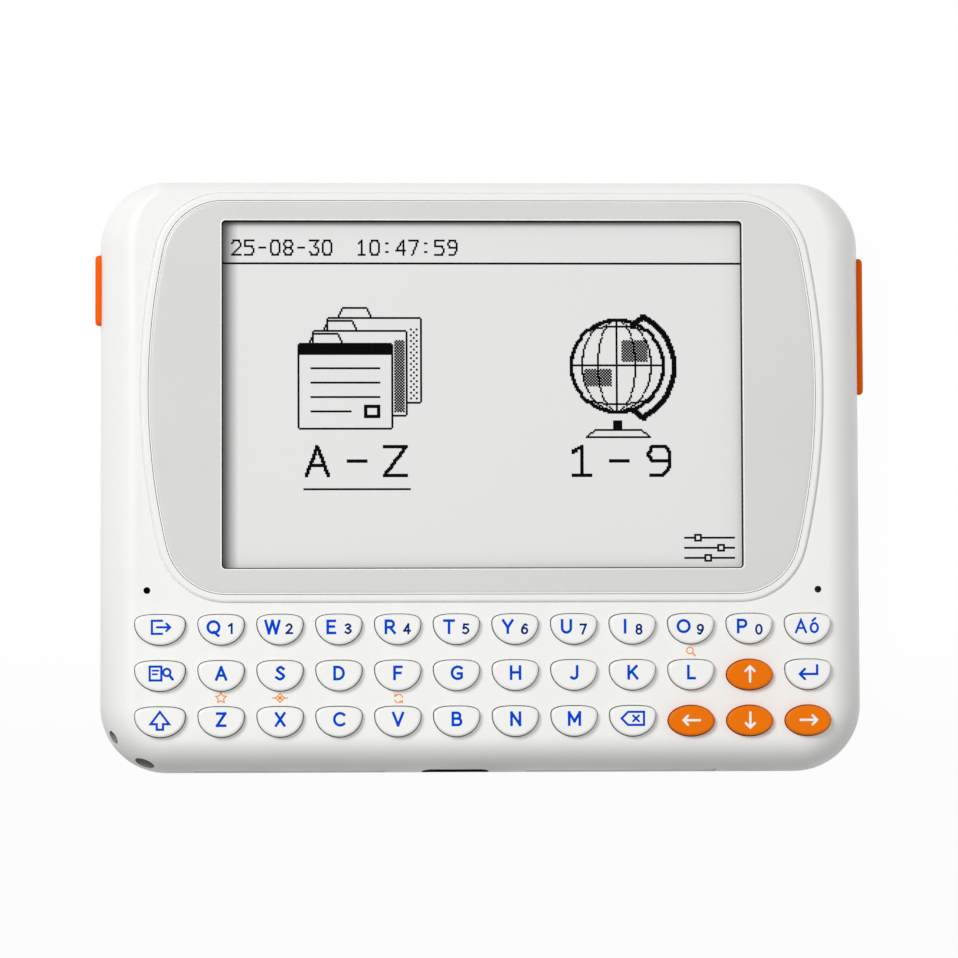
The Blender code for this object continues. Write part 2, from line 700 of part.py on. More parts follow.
def cut_lanyard_holes(shell, cutters):
    """Two holes through the corner wall; the cord goes in at one and out at the other."""
    for name, angle, radius in (
        ("lanyard_side_hole", LANYARD_SIDE_ANGLE, LANYARD_SIDE_RADIUS),
        ("lanyard_end_hole", LANYARD_END_ANGLE, LANYARD_END_RADIUS),
    ):
        inner = CORNER_RADIUS - WALL - OVERRUN
        bore = add_object(
            name, rods(name, ((0, 0),), radius, inner, CORNER_RADIUS + OVERRUN, LANYARD_SIDES), cutters
        )
        bore.location = (CORNER_RADIUS - BODY_WIDTH / 2, CORNER_RADIUS - BODY_HEIGHT / 2, LANYARD_LEVEL)
        bore.rotation_euler = (0, RIGHT_ANGLE, math.radians(angle))
        cut(shell, bore)


def build_rear_shell(parts, cutters, finish):
    """Rear shell: a tray with a lip inside the front shell, screw bosses and the speaker's holes."""
    reaches = (BACK_REACH, BACK_REACH, BACK_REACH)
    rings = pillow_rings(0, reaches, REAR_TOP, BACK_EDGE_DEPTH, 0, BACK_EDGE_STEPS)
    shell = add_object("rear_shell", loft("rear_shell", rings), parts, finish)

    lip_inset = WALL + SEAT
    outline = casing_outline(lip_inset, lip_inset, lip_inset)
    lip = plate("lip", [outline], REAR_FLOOR + SEAT, REAR_TOP + LIP_HEIGHT)
    add(shell, add_object("lip", lip, cutters))

    reaches = (CAVITY_BACK_REACH, CAVITY_BACK_REACH, CAVITY_BACK_REACH)
    rings = pillow_rings(
        lip_inset + LIP_THICKNESS,
        reaches,
        REAR_TOP + LIP_HEIGHT + OVERRUN,
        BACK_EDGE_DEPTH,
        REAR_FLOOR,
        CAVITY_EDGE_STEPS,
    )
    cut(shell, add_object("rear_cavity", loft("rear_cavity", rings), cutters))

    bosses = rods("rear_bosses", SCREW_PLACES, BOSS_RADIUS, SEAT, FRONT_BOSS_END - SEAT, BOSS_SIDES)
    add(shell, add_object("rear_bosses", bosses, cutters))
    recesses = rods(
        "head_recesses", SCREW_PLACES, SCREW_HEAD_RADIUS + SEAT, -OVERRUN, HEAD_RECESS_TOP, SCREW_SIDES
    )
    cut(shell, add_object("head_recesses", recesses, cutters))
    ways = rods(
        "shank_ways", SCREW_PLACES, SCREW_SHANK_RADIUS + SEAT, 0, FRONT_BOSS_END + OVERRUN, SCREW_SIDES
    )
    cut(shell, add_object("shank_ways", ways, cutters))
    grille = rods(
        "grille", grille_places(), GRILLE_HOLE_RADIUS, -OVERRUN, REAR_FLOOR + OVERRUN, GRILLE_HOLE_SIDES
    )
    cut(shell, add_object("grille", grille, cutters))


def grille_places():
    """Centres of the speaker's sound holes: one in the middle and hexagonal rings round it."""
    places = [(SPEAKER_X, SPEAKER_Y)]
    for ring in range(1, GRILLE_RINGS + 1):
        corners = circle((SPEAKER_X, SPEAKER_Y), GRILLE_PITCH * ring, GRILLE_SPOKES)
        for start, end in zip(corners, corners[1:] + corners[:1]):
            for step in range(ring):
                share = step / ring
                places.append(tuple(a + (b - a) * share for a, b in zip(start, end)))
    return places


def build_screen(parts, cutters, finishes):
    """Screen panel, display, the holder behind it and the flexible lead down to the board."""
    window = rounded_rectangle(
        WINDOW_WIDTH, WINDOW_HEIGHT, WINDOW_RADIUS, SMALL_CORNER_STEPS, WINDOW_CENTRE
    )
    panel = plate("screen_panel", [barrel_outline(0), window], PANEL_UNDERSIDE, RIM_TOP)
    add_object("screen_panel", panel, parts, finishes["grey"])

    outline = rounded_rectangle(
        DISPLAY_WIDTH, DISPLAY_HEIGHT, DISPLAY_RADIUS, SMALL_CORNER_STEPS, WINDOW_CENTRE
    )
    display = plate("display", [outline], DISPLAY_UNDERSIDE, DISPLAY_TOP)
    add_object("display", display, parts, finishes["display"])

    grown = [2 * SEAT, 2 * (SEAT + HOLDER_WALL)]
    pocket, outer = (
        rounded_rectangle(
            DISPLAY_WIDTH + extra,
            DISPLAY_HEIGHT + extra,
            DISPLAY_RADIUS + extra / 2,
            SMALL_CORNER_STEPS,
            WINDOW_CENTRE,
        )
        for extra in grown
    )
    holder_top = DISPLAY_UNDERSIDE + HOLDER_GRIP
    holder = add_object(
        "display_holder",
        plate("display_holder", [outer], BOARD_TOP + SEAT, holder_top),
        parts,
        finishes["black"],
    )
    bed = plate("display_pocket", [pocket], DISPLAY_UNDERSIDE - SEAT, holder_top + OVERRUN)
    cut(holder, add_object("display_pocket", bed, cutters))
    slot = block(
        "flex_slot",
        (FLEX_WIDTH + 2 * SEAT, 2 * (HOLDER_WALL + OVERRUN), 2 * FLEX_SLOT_DEPTH),
        (0, DISPLAY_BOTTOM - SEAT - HOLDER_WALL, holder_top),
    )
    cut(holder, add_object("flex_slot", slot, cutters))
    build_flex(parts, finishes)


def build_flex(parts, finishes):
    """Flexible lead: out under the display's lower edge and down to its connector on the board."""
    start_y = DISPLAY_BOTTOM - SEAT
    connector_y = start_y - HOLDER_WALL - CONNECTOR_GAP - CONNECTOR_LENGTH / 2
    connector_low = BOARD_TOP + SEAT
    connector = block(
        "flex_connector",
        (CONNECTOR_WIDTH, CONNECTOR_LENGTH, CONNECTOR_HEIGHT),
        (0, connector_y, connector_low + CONNECTOR_HEIGHT / 2),
    )
    add_object("flex_connector", connector, parts, finishes["black"])

    level = DISPLAY_UNDERSIDE + FLEX_THICKNESS
    path = [(start_y, level)]
    middle = (connector_y + FLEX_BEND, level - FLEX_BEND)
    path += elliptical_arc(middle, (FLEX_BEND, FLEX_BEND), 90, 180, SMALL_CORNER_STEPS)
    path.append((connector_y, connector_low + CONNECTOR_HEIGHT + SEAT))
    data = bpy.data.curves.new("display_flex", "CURVE")
    data.dimensions = "2D"
    data.fill_mode = "NONE"
    data.extrude = FLEX_WIDTH / 2
    spline = data.splines.new("POLY")
    spline.points.add(len(path) - 1)
    for point, (y, z) in zip(spline.points, path):
        point.co = (y, z, 0, 1)
    guide = bpy.data.objects.new("display_flex_outline", data)
    guide.rotation_euler = (RIGHT_ANGLE, 0, RIGHT_ANGLE)
    bpy.context.scene.collection.objects.link(guide)
    bpy.context.view_layer.update()
    flex = add_object("display_flex", mesh_of_curve("display_flex", guide), parts, finishes["film"])
    thicken = flex.modifiers.new("thickness", "SOLIDIFY")
    thicken.thickness = FLEX_THICKNESS
    thicken.offset = 0


def build_keys(parts, finishes):
    """One cap for each key, with the flange that keeps it under the front shell."""
    shared = {}
    for name, width, round_key, x, y in key_places():
        kind = (width, round_key)
        if kind not in shared:
            shared[kind] = key_mesh(width, round_key)
            shared[kind].materials.append(finishes["orange" if round_key else "ivory"])
        cap = add_object("key_" + name, shared[kind], parts, shared[kind].materials[0])
        cap.location = (x, y, FACE_LEVEL)


def key_mesh(width, round_key):
    """Key cap on its flange, measured from the level of the front shell's face."""
    flange_low = FLANGE_TOP - KEY_FLANGE_THICKNESS - FACE_LEVEL
    flange_high = FLANGE_TOP - FACE_LEVEL
    return loft(
        "key_cap",
        [
            (key_outline(width, KEY_FLANGE, round_key), flange_low),
            (key_outline(width, KEY_FLANGE, round_key), flange_high),
            (key_outline(width, 0, round_key), flange_high),
            (key_outline(width, 0, round_key), KEY_RISE - KEY_EDGE_DEPTH),
            (key_outline(width, -KEY_EDGE, round_key), KEY_RISE),
        ],
    )


def keypad_outline(radius):
    """Outline round all the keys, shared by the mat and the film of domes."""
    places = key_places()
    left = min(x - width / 2 for _, width, _, x, _ in places) - MAT_MARGIN
    right = max(x + width / 2 for _, width, _, x, _ in places)
    top = KEY_TOP_ROW_Y + KEY_HEIGHT / 2 + MAT_MARGIN
    bottom = KEY_TOP_ROW_Y - 2 * KEY_PITCH_Y - KEY_HEIGHT / 2 - MAT_MARGIN
    middle = ((left + right) / 2, (top + bottom) / 2)
    return rounded_rectangle(right - left, top - bottom, radius, SMALL_CORNER_STEPS, middle)


def build_keypad(parts, cutters, finishes):
    """Rubber mat with a nib under each key, and the film with a snap dome under each nib."""
    places = [(x, y) for _, _, _, x, y in key_places()]
    mat = add_object(
        "key_mat",
        plate("key_mat", [keypad_outline(MAT_RADIUS)], MAT_UNDERSIDE, MAT_TOP),
        parts,
        finishes["rubber"],
    )
    nibs = rods(
        "nibs", places, NIB_RADIUS, MAT_UNDERSIDE - NIB_HEIGHT, MAT_UNDERSIDE + MAT_THICKNESS / 2, NIB_SIDES
    )
    add(mat, add_object("nibs", nibs, cutters))

    film = add_object(
        "dome_film",
        plate("dome_film", [keypad_outline(MAT_RADIUS)], FILM_UNDERSIDE, FILM_TOP),
        parts,
        finishes["film"],
    )
    domes = rods(
        "domes", places, DOME_RADIUS, FILM_TOP - FILM_THICKNESS / 2, DOME_TOP, DOME_SIDES, DOME_TOP_RADIUS
    )
    add(film, add_object("domes", domes, cutters))


def build_board(parts, cutters, finishes):
    """Circuit board with its soldered main chip, notched round the bosses, and the indicator light."""
    outline = rounded_rectangle(
        BODY_WIDTH - 2 * (WALL + BOARD_SIDE_GAP),
        BODY_HEIGHT - 2 * (WALL + BOARD_END_GAP),
        BOARD_RADIUS,
        SMALL_CORNER_STEPS,
    )
    board = add_object(
        "main_board",
        plate("main_board", [outline], BOARD_UNDERSIDE, BOARD_TOP),
        parts,
        finishes["board"],
    )
    notches = rods(
        "boss_notches",
        SCREW_PLACES,
        BOSS_RADIUS + BOARD_BOSS_GAP,
        BOARD_UNDERSIDE - OVERRUN,
        BOARD_TOP + OVERRUN,
        BOSS_SIDES,
    )
    cut(board, add_object("boss_notches", notches, cutters))

    chip = block(
        "main_chip",
        (CHIP_SIDE, CHIP_SIDE, CHIP_THICKNESS + BOARD_THICKNESS / 2),
        (
            CHIP_SIDE_DISTANCE - SIDE_X,
            END_Y - CHIP_TOP_DISTANCE,
            BOARD_UNDERSIDE - CHIP_THICKNESS / 2 + BOARD_THICKNESS / 4,
        ),
    )
    add(board, add_object("main_chip", chip, cutters))
    light = block(
        "charge_light",
        (LIGHT_SIDE, LIGHT_SIDE, LIGHT_HEIGHT),
        (PIN_HOLE_X, PIN_HOLE_Y, BOARD_TOP + SEAT + LIGHT_HEIGHT / 2),
    )
    add_object("charge_light", light, parts, finishes["display"])
    microphone = rods(
        "microphone",
        ((-PIN_HOLE_X, PIN_HOLE_Y),),
        MICROPHONE_RADIUS,
        CAVITY_TOP - SEAT - MICROPHONE_HEIGHT,
        CAVITY_TOP - SEAT,
        SPEAKER_SIDES,
    )
    add_object("microphone", microphone, parts, finishes["steel"])


def build_side_buttons(parts, cutters, finishes):
    """Power button on the left and rocker on the right, each with the switch that it presses."""
    flange_outer = BUTTON_FLANGE_X
    flange_inner = flange_outer - BUTTON_FLANGE_THICKNESS
    tip = BODY_WIDTH / 2 + BUTTON_PROUD
    lap = 2 * (BUTTON_SLOT_CLEARANCE + BUTTON_LAP)
    end_lap = 2 * (ROCKER_END_CLEARANCE + BUTTON_LAP)
    head = ((0, 0, flange_outer), (0, 0, tip - BUTTON_EDGE), (-BUTTON_EDGE, -BUTTON_EDGE, tip))

    post_end = flange_inner - POWER_POST_LENGTH
    shorter = POWER_POST_WIDTH - POWER_LENGTH
    thinner = POST_THICKNESS - BUTTON_THICKNESS
    slices = (
        (shorter, thinner, post_end),
        (shorter, thinner, flange_inner),
        (lap, lap, flange_inner),
        (lap, lap, flange_outer),
    )
    body = loft("power_button", button_rings(POWER_LENGTH, slices + head))
    power = add_object("power_button", body, parts, finishes["orange"])
    turn_to_side(power, -1, POWER_Y, BUTTON_LEVEL)
    build_switch(
        "power_switch",
        -1,
        POWER_Y,
        POWER_SWITCH_LENGTH,
        (0,),
        post_end - SWITCH_GAP,
        parts,
        cutters,
        finishes,
    )

    slices = ((end_lap, lap, flange_inner), (end_lap, lap, flange_outer))
    pivot_x = flange_inner
    rings = button_rings(ROCKER_LENGTH, slices + head)
    rings = [(outline, level - pivot_x) for outline, level in rings]
    rocker = add_object("page_rocker", loft("page_rocker", rings), parts, finishes["orange"])
    turn_to_side(rocker, 1, ROCKER_Y, BUTTON_LEVEL, pivot_x)
    post_size = (POWER_POST_WIDTH, POST_THICKNESS, ROCKER_POST_LENGTH + BUTTON_FLANGE_THICKNESS / 2)
    for name, end in (("lower_post", -1), ("upper_post", 1)):
        centre = (end * ROCKER_POST_SPREAD / 2, 0, post_size[2] / 2 - ROCKER_POST_LENGTH)
        post = add_object(name, block(name, post_size, centre), cutters)
        turn_to_side(post, 1, ROCKER_Y, BUTTON_LEVEL, pivot_x)
        add(rocker, post)
    nose_radius = ROCKER_POST_LENGTH + SWITCH_GAP + PLUNGER_LENGTH - SEAT
    nose = add_object(
        "rocker_nose",
        rods(
            "rocker_nose",
            ((pivot_x, ROCKER_Y),),
            nose_radius,
            BUTTON_LEVEL - POST_THICKNESS / 2,
            BUTTON_LEVEL + POST_THICKNESS / 2,
            NOSE_SIDES,
        ),
        cutters,
    )
    add(rocker, nose)
    spread = (-ROCKER_POST_SPREAD / 2, ROCKER_POST_SPREAD / 2)
    build_switch(
        "rocker_switch",
        1,
        ROCKER_Y,
        ROCKER_SWITCH_LENGTH,
        spread,
        pivot_x - ROCKER_POST_LENGTH - SWITCH_GAP,
        parts,
        cutters,
        finishes,
    )


def build_switch(name, side, y, length, plungers, tip, parts, cutters, finishes):
    """Switch under the board's edge, with a plunger for each post that presses it."""
    face = tip - PLUNGER_LENGTH
    body = add_object(
        name,
        block(
            name,
            (SWITCH_DEPTH, length, SWITCH_HEIGHT),
            (side * (face - SWITCH_DEPTH / 2), y, SWITCH_LEVEL),
        ),
        parts,
        finishes["black"],
    )
    for number, offset in enumerate(plungers, 1):
        plunger_name = f"{name}_plunger_{number}"
        plunger = block(
            plunger_name,
            (2 * PLUNGER_LENGTH, PLUNGER_WIDTH, PLUNGER_THICKNESS),
            (side * (tip - PLUNGER_LENGTH), y + offset, BUTTON_LEVEL),
        )
        add(body, add_object(plunger_name, plunger, cutters))


def build_port(parts, finishes):
    """Charging port: a steel tube with the contact tongue inside it, in the bottom edge."""
    mouth = BODY_HEIGHT / 2 - PORT_SETBACK
    outer, bore, base = (
        rounded_rectangle(
            PORT_WIDTH - 2 * less, PORT_THICKNESS - 2 * less, PORT_RADIUS - less, SMALL_CORNER_STEPS
        )
        for less in (0, PORT_WALL, PORT_WALL + SEAT)
    )
    back = mouth - PORT_LENGTH
    tube = add_object(
        "port_shell", plate("port_shell", [outer, bore], back, mouth), parts, finishes["steel"]
    )
    blade = rounded_rectangle(TONGUE_WIDTH, TONGUE_THICKNESS, TONGUE_RADIUS, SMALL_CORNER_STEPS)
    rings = [
        (base, back),
        (base, back + TONGUE_BASE_LENGTH),
        (blade, back + TONGUE_BASE_LENGTH),
        (blade, back + TONGUE_BASE_LENGTH + TONGUE_LENGTH),
    ]
    tongue = add_object("port_tongue", loft("port_tongue", rings), parts, finishes["black"])
    for piece in (tube, tongue):
        piece.location = (PORT_X, 0, PORT_LEVEL)
        piece.rotation_euler = (RIGHT_ANGLE, 0, 0)


def build_rear_contents(parts, finishes):
    """Battery and speaker that lie on the rear shell's floor."""
    low = REAR_FLOOR + SEAT
    left = BATTERY_LEFT_MARGIN - SIDE_X
    right = SIDE_X - BATTERY_RIGHT_MARGIN
    top = END_Y - BATTERY_TOP_MARGIN
    bottom = SPEAKER_Y + SPEAKER_RADIUS + BATTERY_SPEAKER_GAP
    middle = ((left + right) / 2, (top + bottom) / 2)
    outline = rounded_rectangle(right - left, top - bottom, BATTERY_RADIUS, SMALL_CORNER_STEPS, middle)
    battery = plate("battery", [outline], low, low + BATTERY_THICKNESS)
    add_object("battery", battery, parts, finishes["cell"])

    profile = (
        (0, low + SPEAKER_HEIGHT),
        (SPEAKER_MAGNET_RADIUS, low + SPEAKER_HEIGHT),
        (SPEAKER_MAGNET_RADIUS, low + SPEAKER_RIM_HEIGHT),
        (SPEAKER_RADIUS, low + SPEAKER_RIM_HEIGHT),
        (SPEAKER_RADIUS, low),
        (0, low),
    )
    turned("speaker", profile, SPEAKER_SIDES, parts, finishes["steel"], (SPEAKER_X, SPEAKER_Y))


def build_screws(parts, finishes):
    """Four case screws, driven in from the back."""
    bearing = SCREW_HEAD_INSET + SCREW_HEAD_HEIGHT
    profile = (
        (0, bearing + SCREW_LENGTH),
        (SCREW_SHANK_RADIUS, bearing + SCREW_LENGTH),
        (SCREW_SHANK_RADIUS, bearing),
        (SCREW_HEAD_RADIUS, bearing),
        (SCREW_HEAD_RADIUS, SCREW_HEAD_INSET),
        (0, SCREW_HEAD_INSET),
    )
    names = ("upper_left", "upper_right", "lower_left", "lower_right")
    for name, place in zip(names, SCREW_PLACES):
        turned(name + "_screw", profile, SCREW_SIDES, parts, finishes["steel"], place)


def main():
    """Builds every piece of the dictionary."""
    for obj in list(bpy.data.objects):
        bpy.data.objects.remove(obj)
    parts = new_collection("electronic_dictionary")
    cutters = new_collection("cutters", hidden=True)
    finishes = {name: new_material(name) for name in COLOURS}
    build_front_shell(parts, cutters, finishes["ivory"])
    build_rear_shell(parts, cutters, finishes["ivory"])
    build_screen(parts, cutters, finishes)
    build_keys(parts, finishes)
    build_keypad(parts, cutters, finishes)
    build_board(parts, cutters, finishes)
    build_side_buttons(parts, cutters, finishes)
    build_port(parts, finishes)
    build_rear_contents(parts, finishes)
    build_screws(parts, finishes)


main()
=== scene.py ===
"""Looks of the electronic dictionary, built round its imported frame.

The dictionary lies on its back. Its rear face is on Z = 0, the screen and the keys face +Z, and
the edge above the screen is at +Y. All lengths are in metres, and angles are in degrees unless a
name says otherwise.
"""

import enum
import logging
import math
from collections.abc import Callable, Iterable, Sequence
from dataclasses import dataclass, field

import bmesh
import bpy
from mathutils import Matrix, Vector


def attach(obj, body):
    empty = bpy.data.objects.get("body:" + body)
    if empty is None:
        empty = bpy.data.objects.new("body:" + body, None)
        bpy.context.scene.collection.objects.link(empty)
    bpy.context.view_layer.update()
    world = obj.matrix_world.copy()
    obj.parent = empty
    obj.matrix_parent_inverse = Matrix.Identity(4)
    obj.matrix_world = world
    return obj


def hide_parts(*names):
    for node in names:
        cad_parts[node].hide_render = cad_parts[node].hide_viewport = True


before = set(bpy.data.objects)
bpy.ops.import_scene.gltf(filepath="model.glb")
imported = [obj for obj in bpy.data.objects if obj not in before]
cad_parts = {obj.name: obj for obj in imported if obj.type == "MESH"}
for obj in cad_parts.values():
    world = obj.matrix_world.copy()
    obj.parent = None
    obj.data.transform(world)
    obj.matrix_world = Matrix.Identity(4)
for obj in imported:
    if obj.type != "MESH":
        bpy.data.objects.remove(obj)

CASING_BODY = "casing"
RIGHT_ANGLE = math.pi / 2
SMOOTH_ANGLE = math.radians(33)
SEAT = 0.0003
OVERRUN = 0.0010
PRINT_STEP = 0.0000006

Point = tuple[float, float]
Outline = list[Point]
Colour = tuple[float, float, float]

log = logging.getLogger("dictionary")


class Side(enum.Enum):
    """Side of the casing, as its direction along X."""

    LEFT = -1
    RIGHT = 1


class CapShape(enum.Enum):
    """Outline of a key cap: the share of its height above the shoulder, and how square its top is."""

    HALF_MOON = (0.30, 2.9)
    ROUND = (0.50, 2.0)


class LineEnd(enum.Enum):
    """How a drawn line ends."""

    ROUND = "round"
    SQUARE = "square"


class Slot(enum.Enum):
    """Names of the record's material slots, which the scene's own pieces are passed with."""

    CASING = "casing"
    PANEL = "panel"
    DISPLAY = "display"
    WHITE_KEYS = "white_keys"
    ORANGE_KEYS = "orange_keys"
    BLACK_PARTS = "black_parts"
    STEEL = "steel"


# Outlines


def arc(centre: Point, radii: Point, start: float, end: float, steps: int) -> Outline:
    """Points of an elliptical arc.

    Args:
        centre: Middle of the ellipse.
        radii: Its two half axes.
        start: Angle of the first point.
        end: Angle of the last point.
        steps: Number of stretches between them.

    Returns:
        The points, with both ends.
    """
    angles = [math.radians(start + (end - start) * step / steps) for step in range(steps + 1)]
    return [
        (centre[0] + radii[0] * math.cos(angle), centre[1] + radii[1] * math.sin(angle))
        for angle in angles
    ]


def circle(centre: Point, radius: float, steps: int) -> Outline:
    """Outline of a circle."""
    return arc(centre, (radius, radius), 0, 360, steps)[:-1]


def rounded_rectangle(
    width: float, height: float, radius: float, steps: int, centre: Point = (0, 0)
) -> Outline:
    """Outline of a rectangle with round corners.

    Args:
        width: Length along the first axis.
        height: Length along the second axis.
        radius: Radius of each corner.
        steps: Number of stretches in each corner.
        centre: Middle of the rectangle.

    Returns:
        The points, anticlockwise from the right side.
    """
    points: Outline = []
    for corner, (side, end) in enumerate(((1, 1), (-1, 1), (-1, -1), (1, -1))):
        middle = (
            centre[0] + side * (width / 2 - radius),
            centre[1] + end * (height / 2 - radius),
        )
        points += arc(middle, (radius, radius), 90 * corner, 90 * (corner + 1), steps)
    return points


def moved(outline: Outline, place: Point) -> Outline:
    """Outline shifted to a place."""
    return [(x + place[0], y + place[1]) for x, y in outline]


@dataclass(frozen=True)
class Ring:
    """One slice of a loft."""

    outline: Outline
    level: float


def rounding(radius: float, steps: int) -> list[Point]:
    """Steps of a rounded edge as (distance drawn in, distance below the top), from the wall up."""
    turns = [RIGHT_ANGLE * step / steps for step in range(steps + 1)]
    return [(radius * (1 - math.cos(turn)), radius * (1 - math.sin(turn))) for turn in turns]


def funnel(
    outline: Callable[[float], Outline], low: float, face: float, lip: float, steps: int = 4
) -> list[Ring]:
    """Rings of a cutter that leaves a rounded lip where it comes out at a face.

    Args:
        outline: Gives the outline grown by a distance.
        low: Level where the cutter starts, on the side away from the face.
        face: Level of the face.
        lip: Radius of the lip.
        steps: Number of stretches round the lip.

    Returns:
        The rings, from the low level out through the face.
    """
    out = math.copysign(1, face - low)
    rings = [Ring(outline(0), low)]
    rings += [Ring(outline(grow), face - out * down) for grow, down in rounding(lip, steps)]
    rings.append(Ring(outline(lip), face + out * OVERRUN))
    return rings


def edge_rings(
    outline: Callable[[float], Outline], top: float, radius: float, steps: int
) -> list[Ring]:
    """Rings of a rounded upper edge, from the wall up."""
    return [Ring(outline(-drawn_in), top - down) for drawn_in, down in rounding(radius, steps)]


# Shaping


def follow(corners: Sequence[bmesh.types.BMVert], outline: Outline, level: float) -> None:
    """Sets a loop of corners on an outline at a level."""
    for corner, (x, y) in zip(corners, outline):
        corner.co = (x, y, level)


def loft(rings: Sequence[Ring], closed: bool = False) -> bmesh.types.BMesh:
    """Skin through rings that all have as many points.

    Args:
        rings: The slices, in order.
        closed: Whether the last ring joins the first, as in a frame, and no end is capped.

    Returns:
        The closed form.
    """
    form = bmesh.new()
    count = len(rings[0].outline)
    bmesh.ops.create_circle(form, cap_ends=False, radius=1, segments=count)
    form.verts.ensure_lookup_table()
    corners = list(form.verts)
    follow(corners, rings[0].outline, rings[0].level)
    edges = list(form.edges)
    first = edges
    for ring in rings[1:]:
        made = bmesh.ops.extrude_edge_only(form, edges=edges)["geom"]
        new = {item for item in made if isinstance(item, bmesh.types.BMVert)}
        corners = [
            next(edge.other_vert(corner) for edge in corner.link_edges if edge.other_vert(corner) in new)
            for corner in corners
        ]
        edges = [
            item
            for item in made
            if isinstance(item, bmesh.types.BMEdge) and item.verts[0] in new and item.verts[1] in new
        ]
        follow(corners, ring.outline, ring.level)
    if closed:
        bmesh.ops.bridge_loops(form, edges=first + edges)
    else:
        bmesh.ops.holes_fill(form, edges=first + edges, sides=0)
    bmesh.ops.recalc_face_normals(form, faces=form.faces)
    return form


def plate(outline: Outline, low: float, high: float) -> bmesh.types.BMesh:
    """Flat form between two levels."""
    return loft([Ring(outline, low), Ring(outline, high)])


def gathered(forms: Iterable[bmesh.types.BMesh]) -> bmesh.types.BMesh:
    """One bmesh that holds all these forms, which are freed."""
    whole = bmesh.new()
    for form in forms:
        mesh = bpy.data.meshes.new("part")
        form.to_mesh(mesh)
        form.free()
        whole.from_mesh(mesh)
        bpy.data.meshes.remove(mesh)
    return whole


def lipped_hole(
    outline: Callable[[float], Outline], low: float, face: float, lip: float
) -> bmesh.types.BMesh:
    """Cutter that leaves a rounded lip where it comes out at a face."""
    return loft(funnel(outline, low, face, lip))


def round_holes(
    places: Sequence[Point], radius: float, sides: int, low: float, face: float, lip: float
) -> list[bmesh.types.BMesh]:
    """Round cutters with a lip at a face, one at each place."""
    return [
        lipped_hole(lambda grow, place=place: circle(place, radius + grow, sides), low, face, lip)
        for place in places
    ]


def pillars(
    places: Sequence[Point], radius: float, sides: int, low: float, high: float
) -> bmesh.types.BMesh:
    """Round pillars between two levels, one at each place."""
    return gathered(plate(circle(place, radius, sides), low, high) for place in places)


def placed(form: bmesh.types.BMesh, matrix: Matrix) -> bmesh.types.BMesh:
    """The same form, moved by a matrix."""
    bmesh.ops.transform(form, matrix=matrix, verts=form.verts)
    return form


def facing_side(side: Side, y: float, level: float) -> Matrix:
    """Matrix that stands a form modelled face up so that its face looks out of one side."""
    turn = Matrix.Rotation(side.value * RIGHT_ANGLE, 4, "Z") @ Matrix.Rotation(RIGHT_ANGLE, 4, "X")
    return Matrix.Translation((0, y, level)) @ turn


def facing_bottom(x: float, level: float) -> Matrix:
    """Matrix that stands a form modelled face up so that its face looks out of the bottom edge."""
    return Matrix.Translation((x, 0, level)) @ Matrix.Rotation(RIGHT_ANGLE, 4, "X")


class Workpiece:
    """Solid that is being shaped, from its first form until it is a finished piece."""

    def __init__(
        self, name: str, form: bmesh.types.BMesh, look: bpy.types.Material | None = None
    ) -> None:
        """Starts the piece from a form, which is freed, in one material."""
        self.look = look
        self.piece = self._stand_in(name, form, look)

    @staticmethod
    def _stand_in(
        name: str, form: bmesh.types.BMesh, look: bpy.types.Material | None
    ) -> bpy.types.Object:
        """Object of a form, linked to the scene."""
        mesh = bpy.data.meshes.new(name)
        form.to_mesh(mesh)
        form.free()
        if look is not None:
            mesh.materials.append(look)
        made = bpy.data.objects.new(name, mesh)
        bpy.context.scene.collection.objects.link(made)
        return made

    def _apply(self) -> None:
        """Makes the modifiers part of the mesh."""
        graph = bpy.context.evaluated_depsgraph_get()
        shaped = bpy.data.meshes.new_from_object(
            self.piece.evaluated_get(graph), preserve_all_data_layers=True, depsgraph=graph
        )
        old = self.piece.data
        self.piece.modifiers.clear()
        self.piece.data = shaped
        bpy.data.meshes.remove(old)
        shaped.name = self.piece.name

    def _combine(
        self, form: bmesh.types.BMesh, operation: str, look: bpy.types.Material | None
    ) -> "Workpiece":
        """Combines another form with this piece; its faces take the given look."""
        other = self._stand_in("tool", form, look or self.look)
        modifier = self.piece.modifiers.new("combine", "BOOLEAN")
        modifier.operation = operation
        modifier.solver = "EXACT"
        modifier.material_mode = "TRANSFER"
        modifier.object = other
        self._apply()
        tool = other.data
        bpy.data.objects.remove(other)
        bpy.data.meshes.remove(tool)
        return self

    def cut(self, form: bmesh.types.BMesh, look: bpy.types.Material | None = None) -> "Workpiece":
        """Takes a form out of the piece; the cut faces may have a look of their own."""
        return self._combine(form, "DIFFERENCE", look)

    def join(self, form: bmesh.types.BMesh, look: bpy.types.Material | None = None) -> "Workpiece":
        """Adds a form to the piece."""
        return self._combine(form, "UNION", look)

    def to_form(self) -> bmesh.types.BMesh:
        """Turns the piece back into a form, to be used as a tool."""
        form = bmesh.new()
        mesh = self.piece.data
        form.from_mesh(mesh)
        bpy.data.objects.remove(self.piece)
        bpy.data.meshes.remove(mesh)
        return form

    def finish(
        self,
        slot: Slot,
        body: str = CASING_BODY,
        nodes: Sequence[str] = (),
        even: bool = True,
    ) -> bpy.types.Object:
        """Smooths the piece and hands it to its body.

        Args:
            slot: Slot of the record that it stands in; not used.
            body: Body of the frame that carries it.
            nodes: Nodes of the frame that it stands for.
            even: Whether large flat faces keep their own direction in the shading.

        Returns:
            The finished object.
        """
        mesh = self.piece.data
        mesh.shade_smooth()
        mesh.set_sharp_from_angle(angle=SMOOTH_ANGLE)
        if even:
            weighted = self.piece.modifiers.new("even", "WEIGHTED_NORMAL")
            weighted.keep_sharp = True
            self._apply()
        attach(self.piece, body)
        if nodes:
            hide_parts(*nodes)
        return self.piece


# Materials


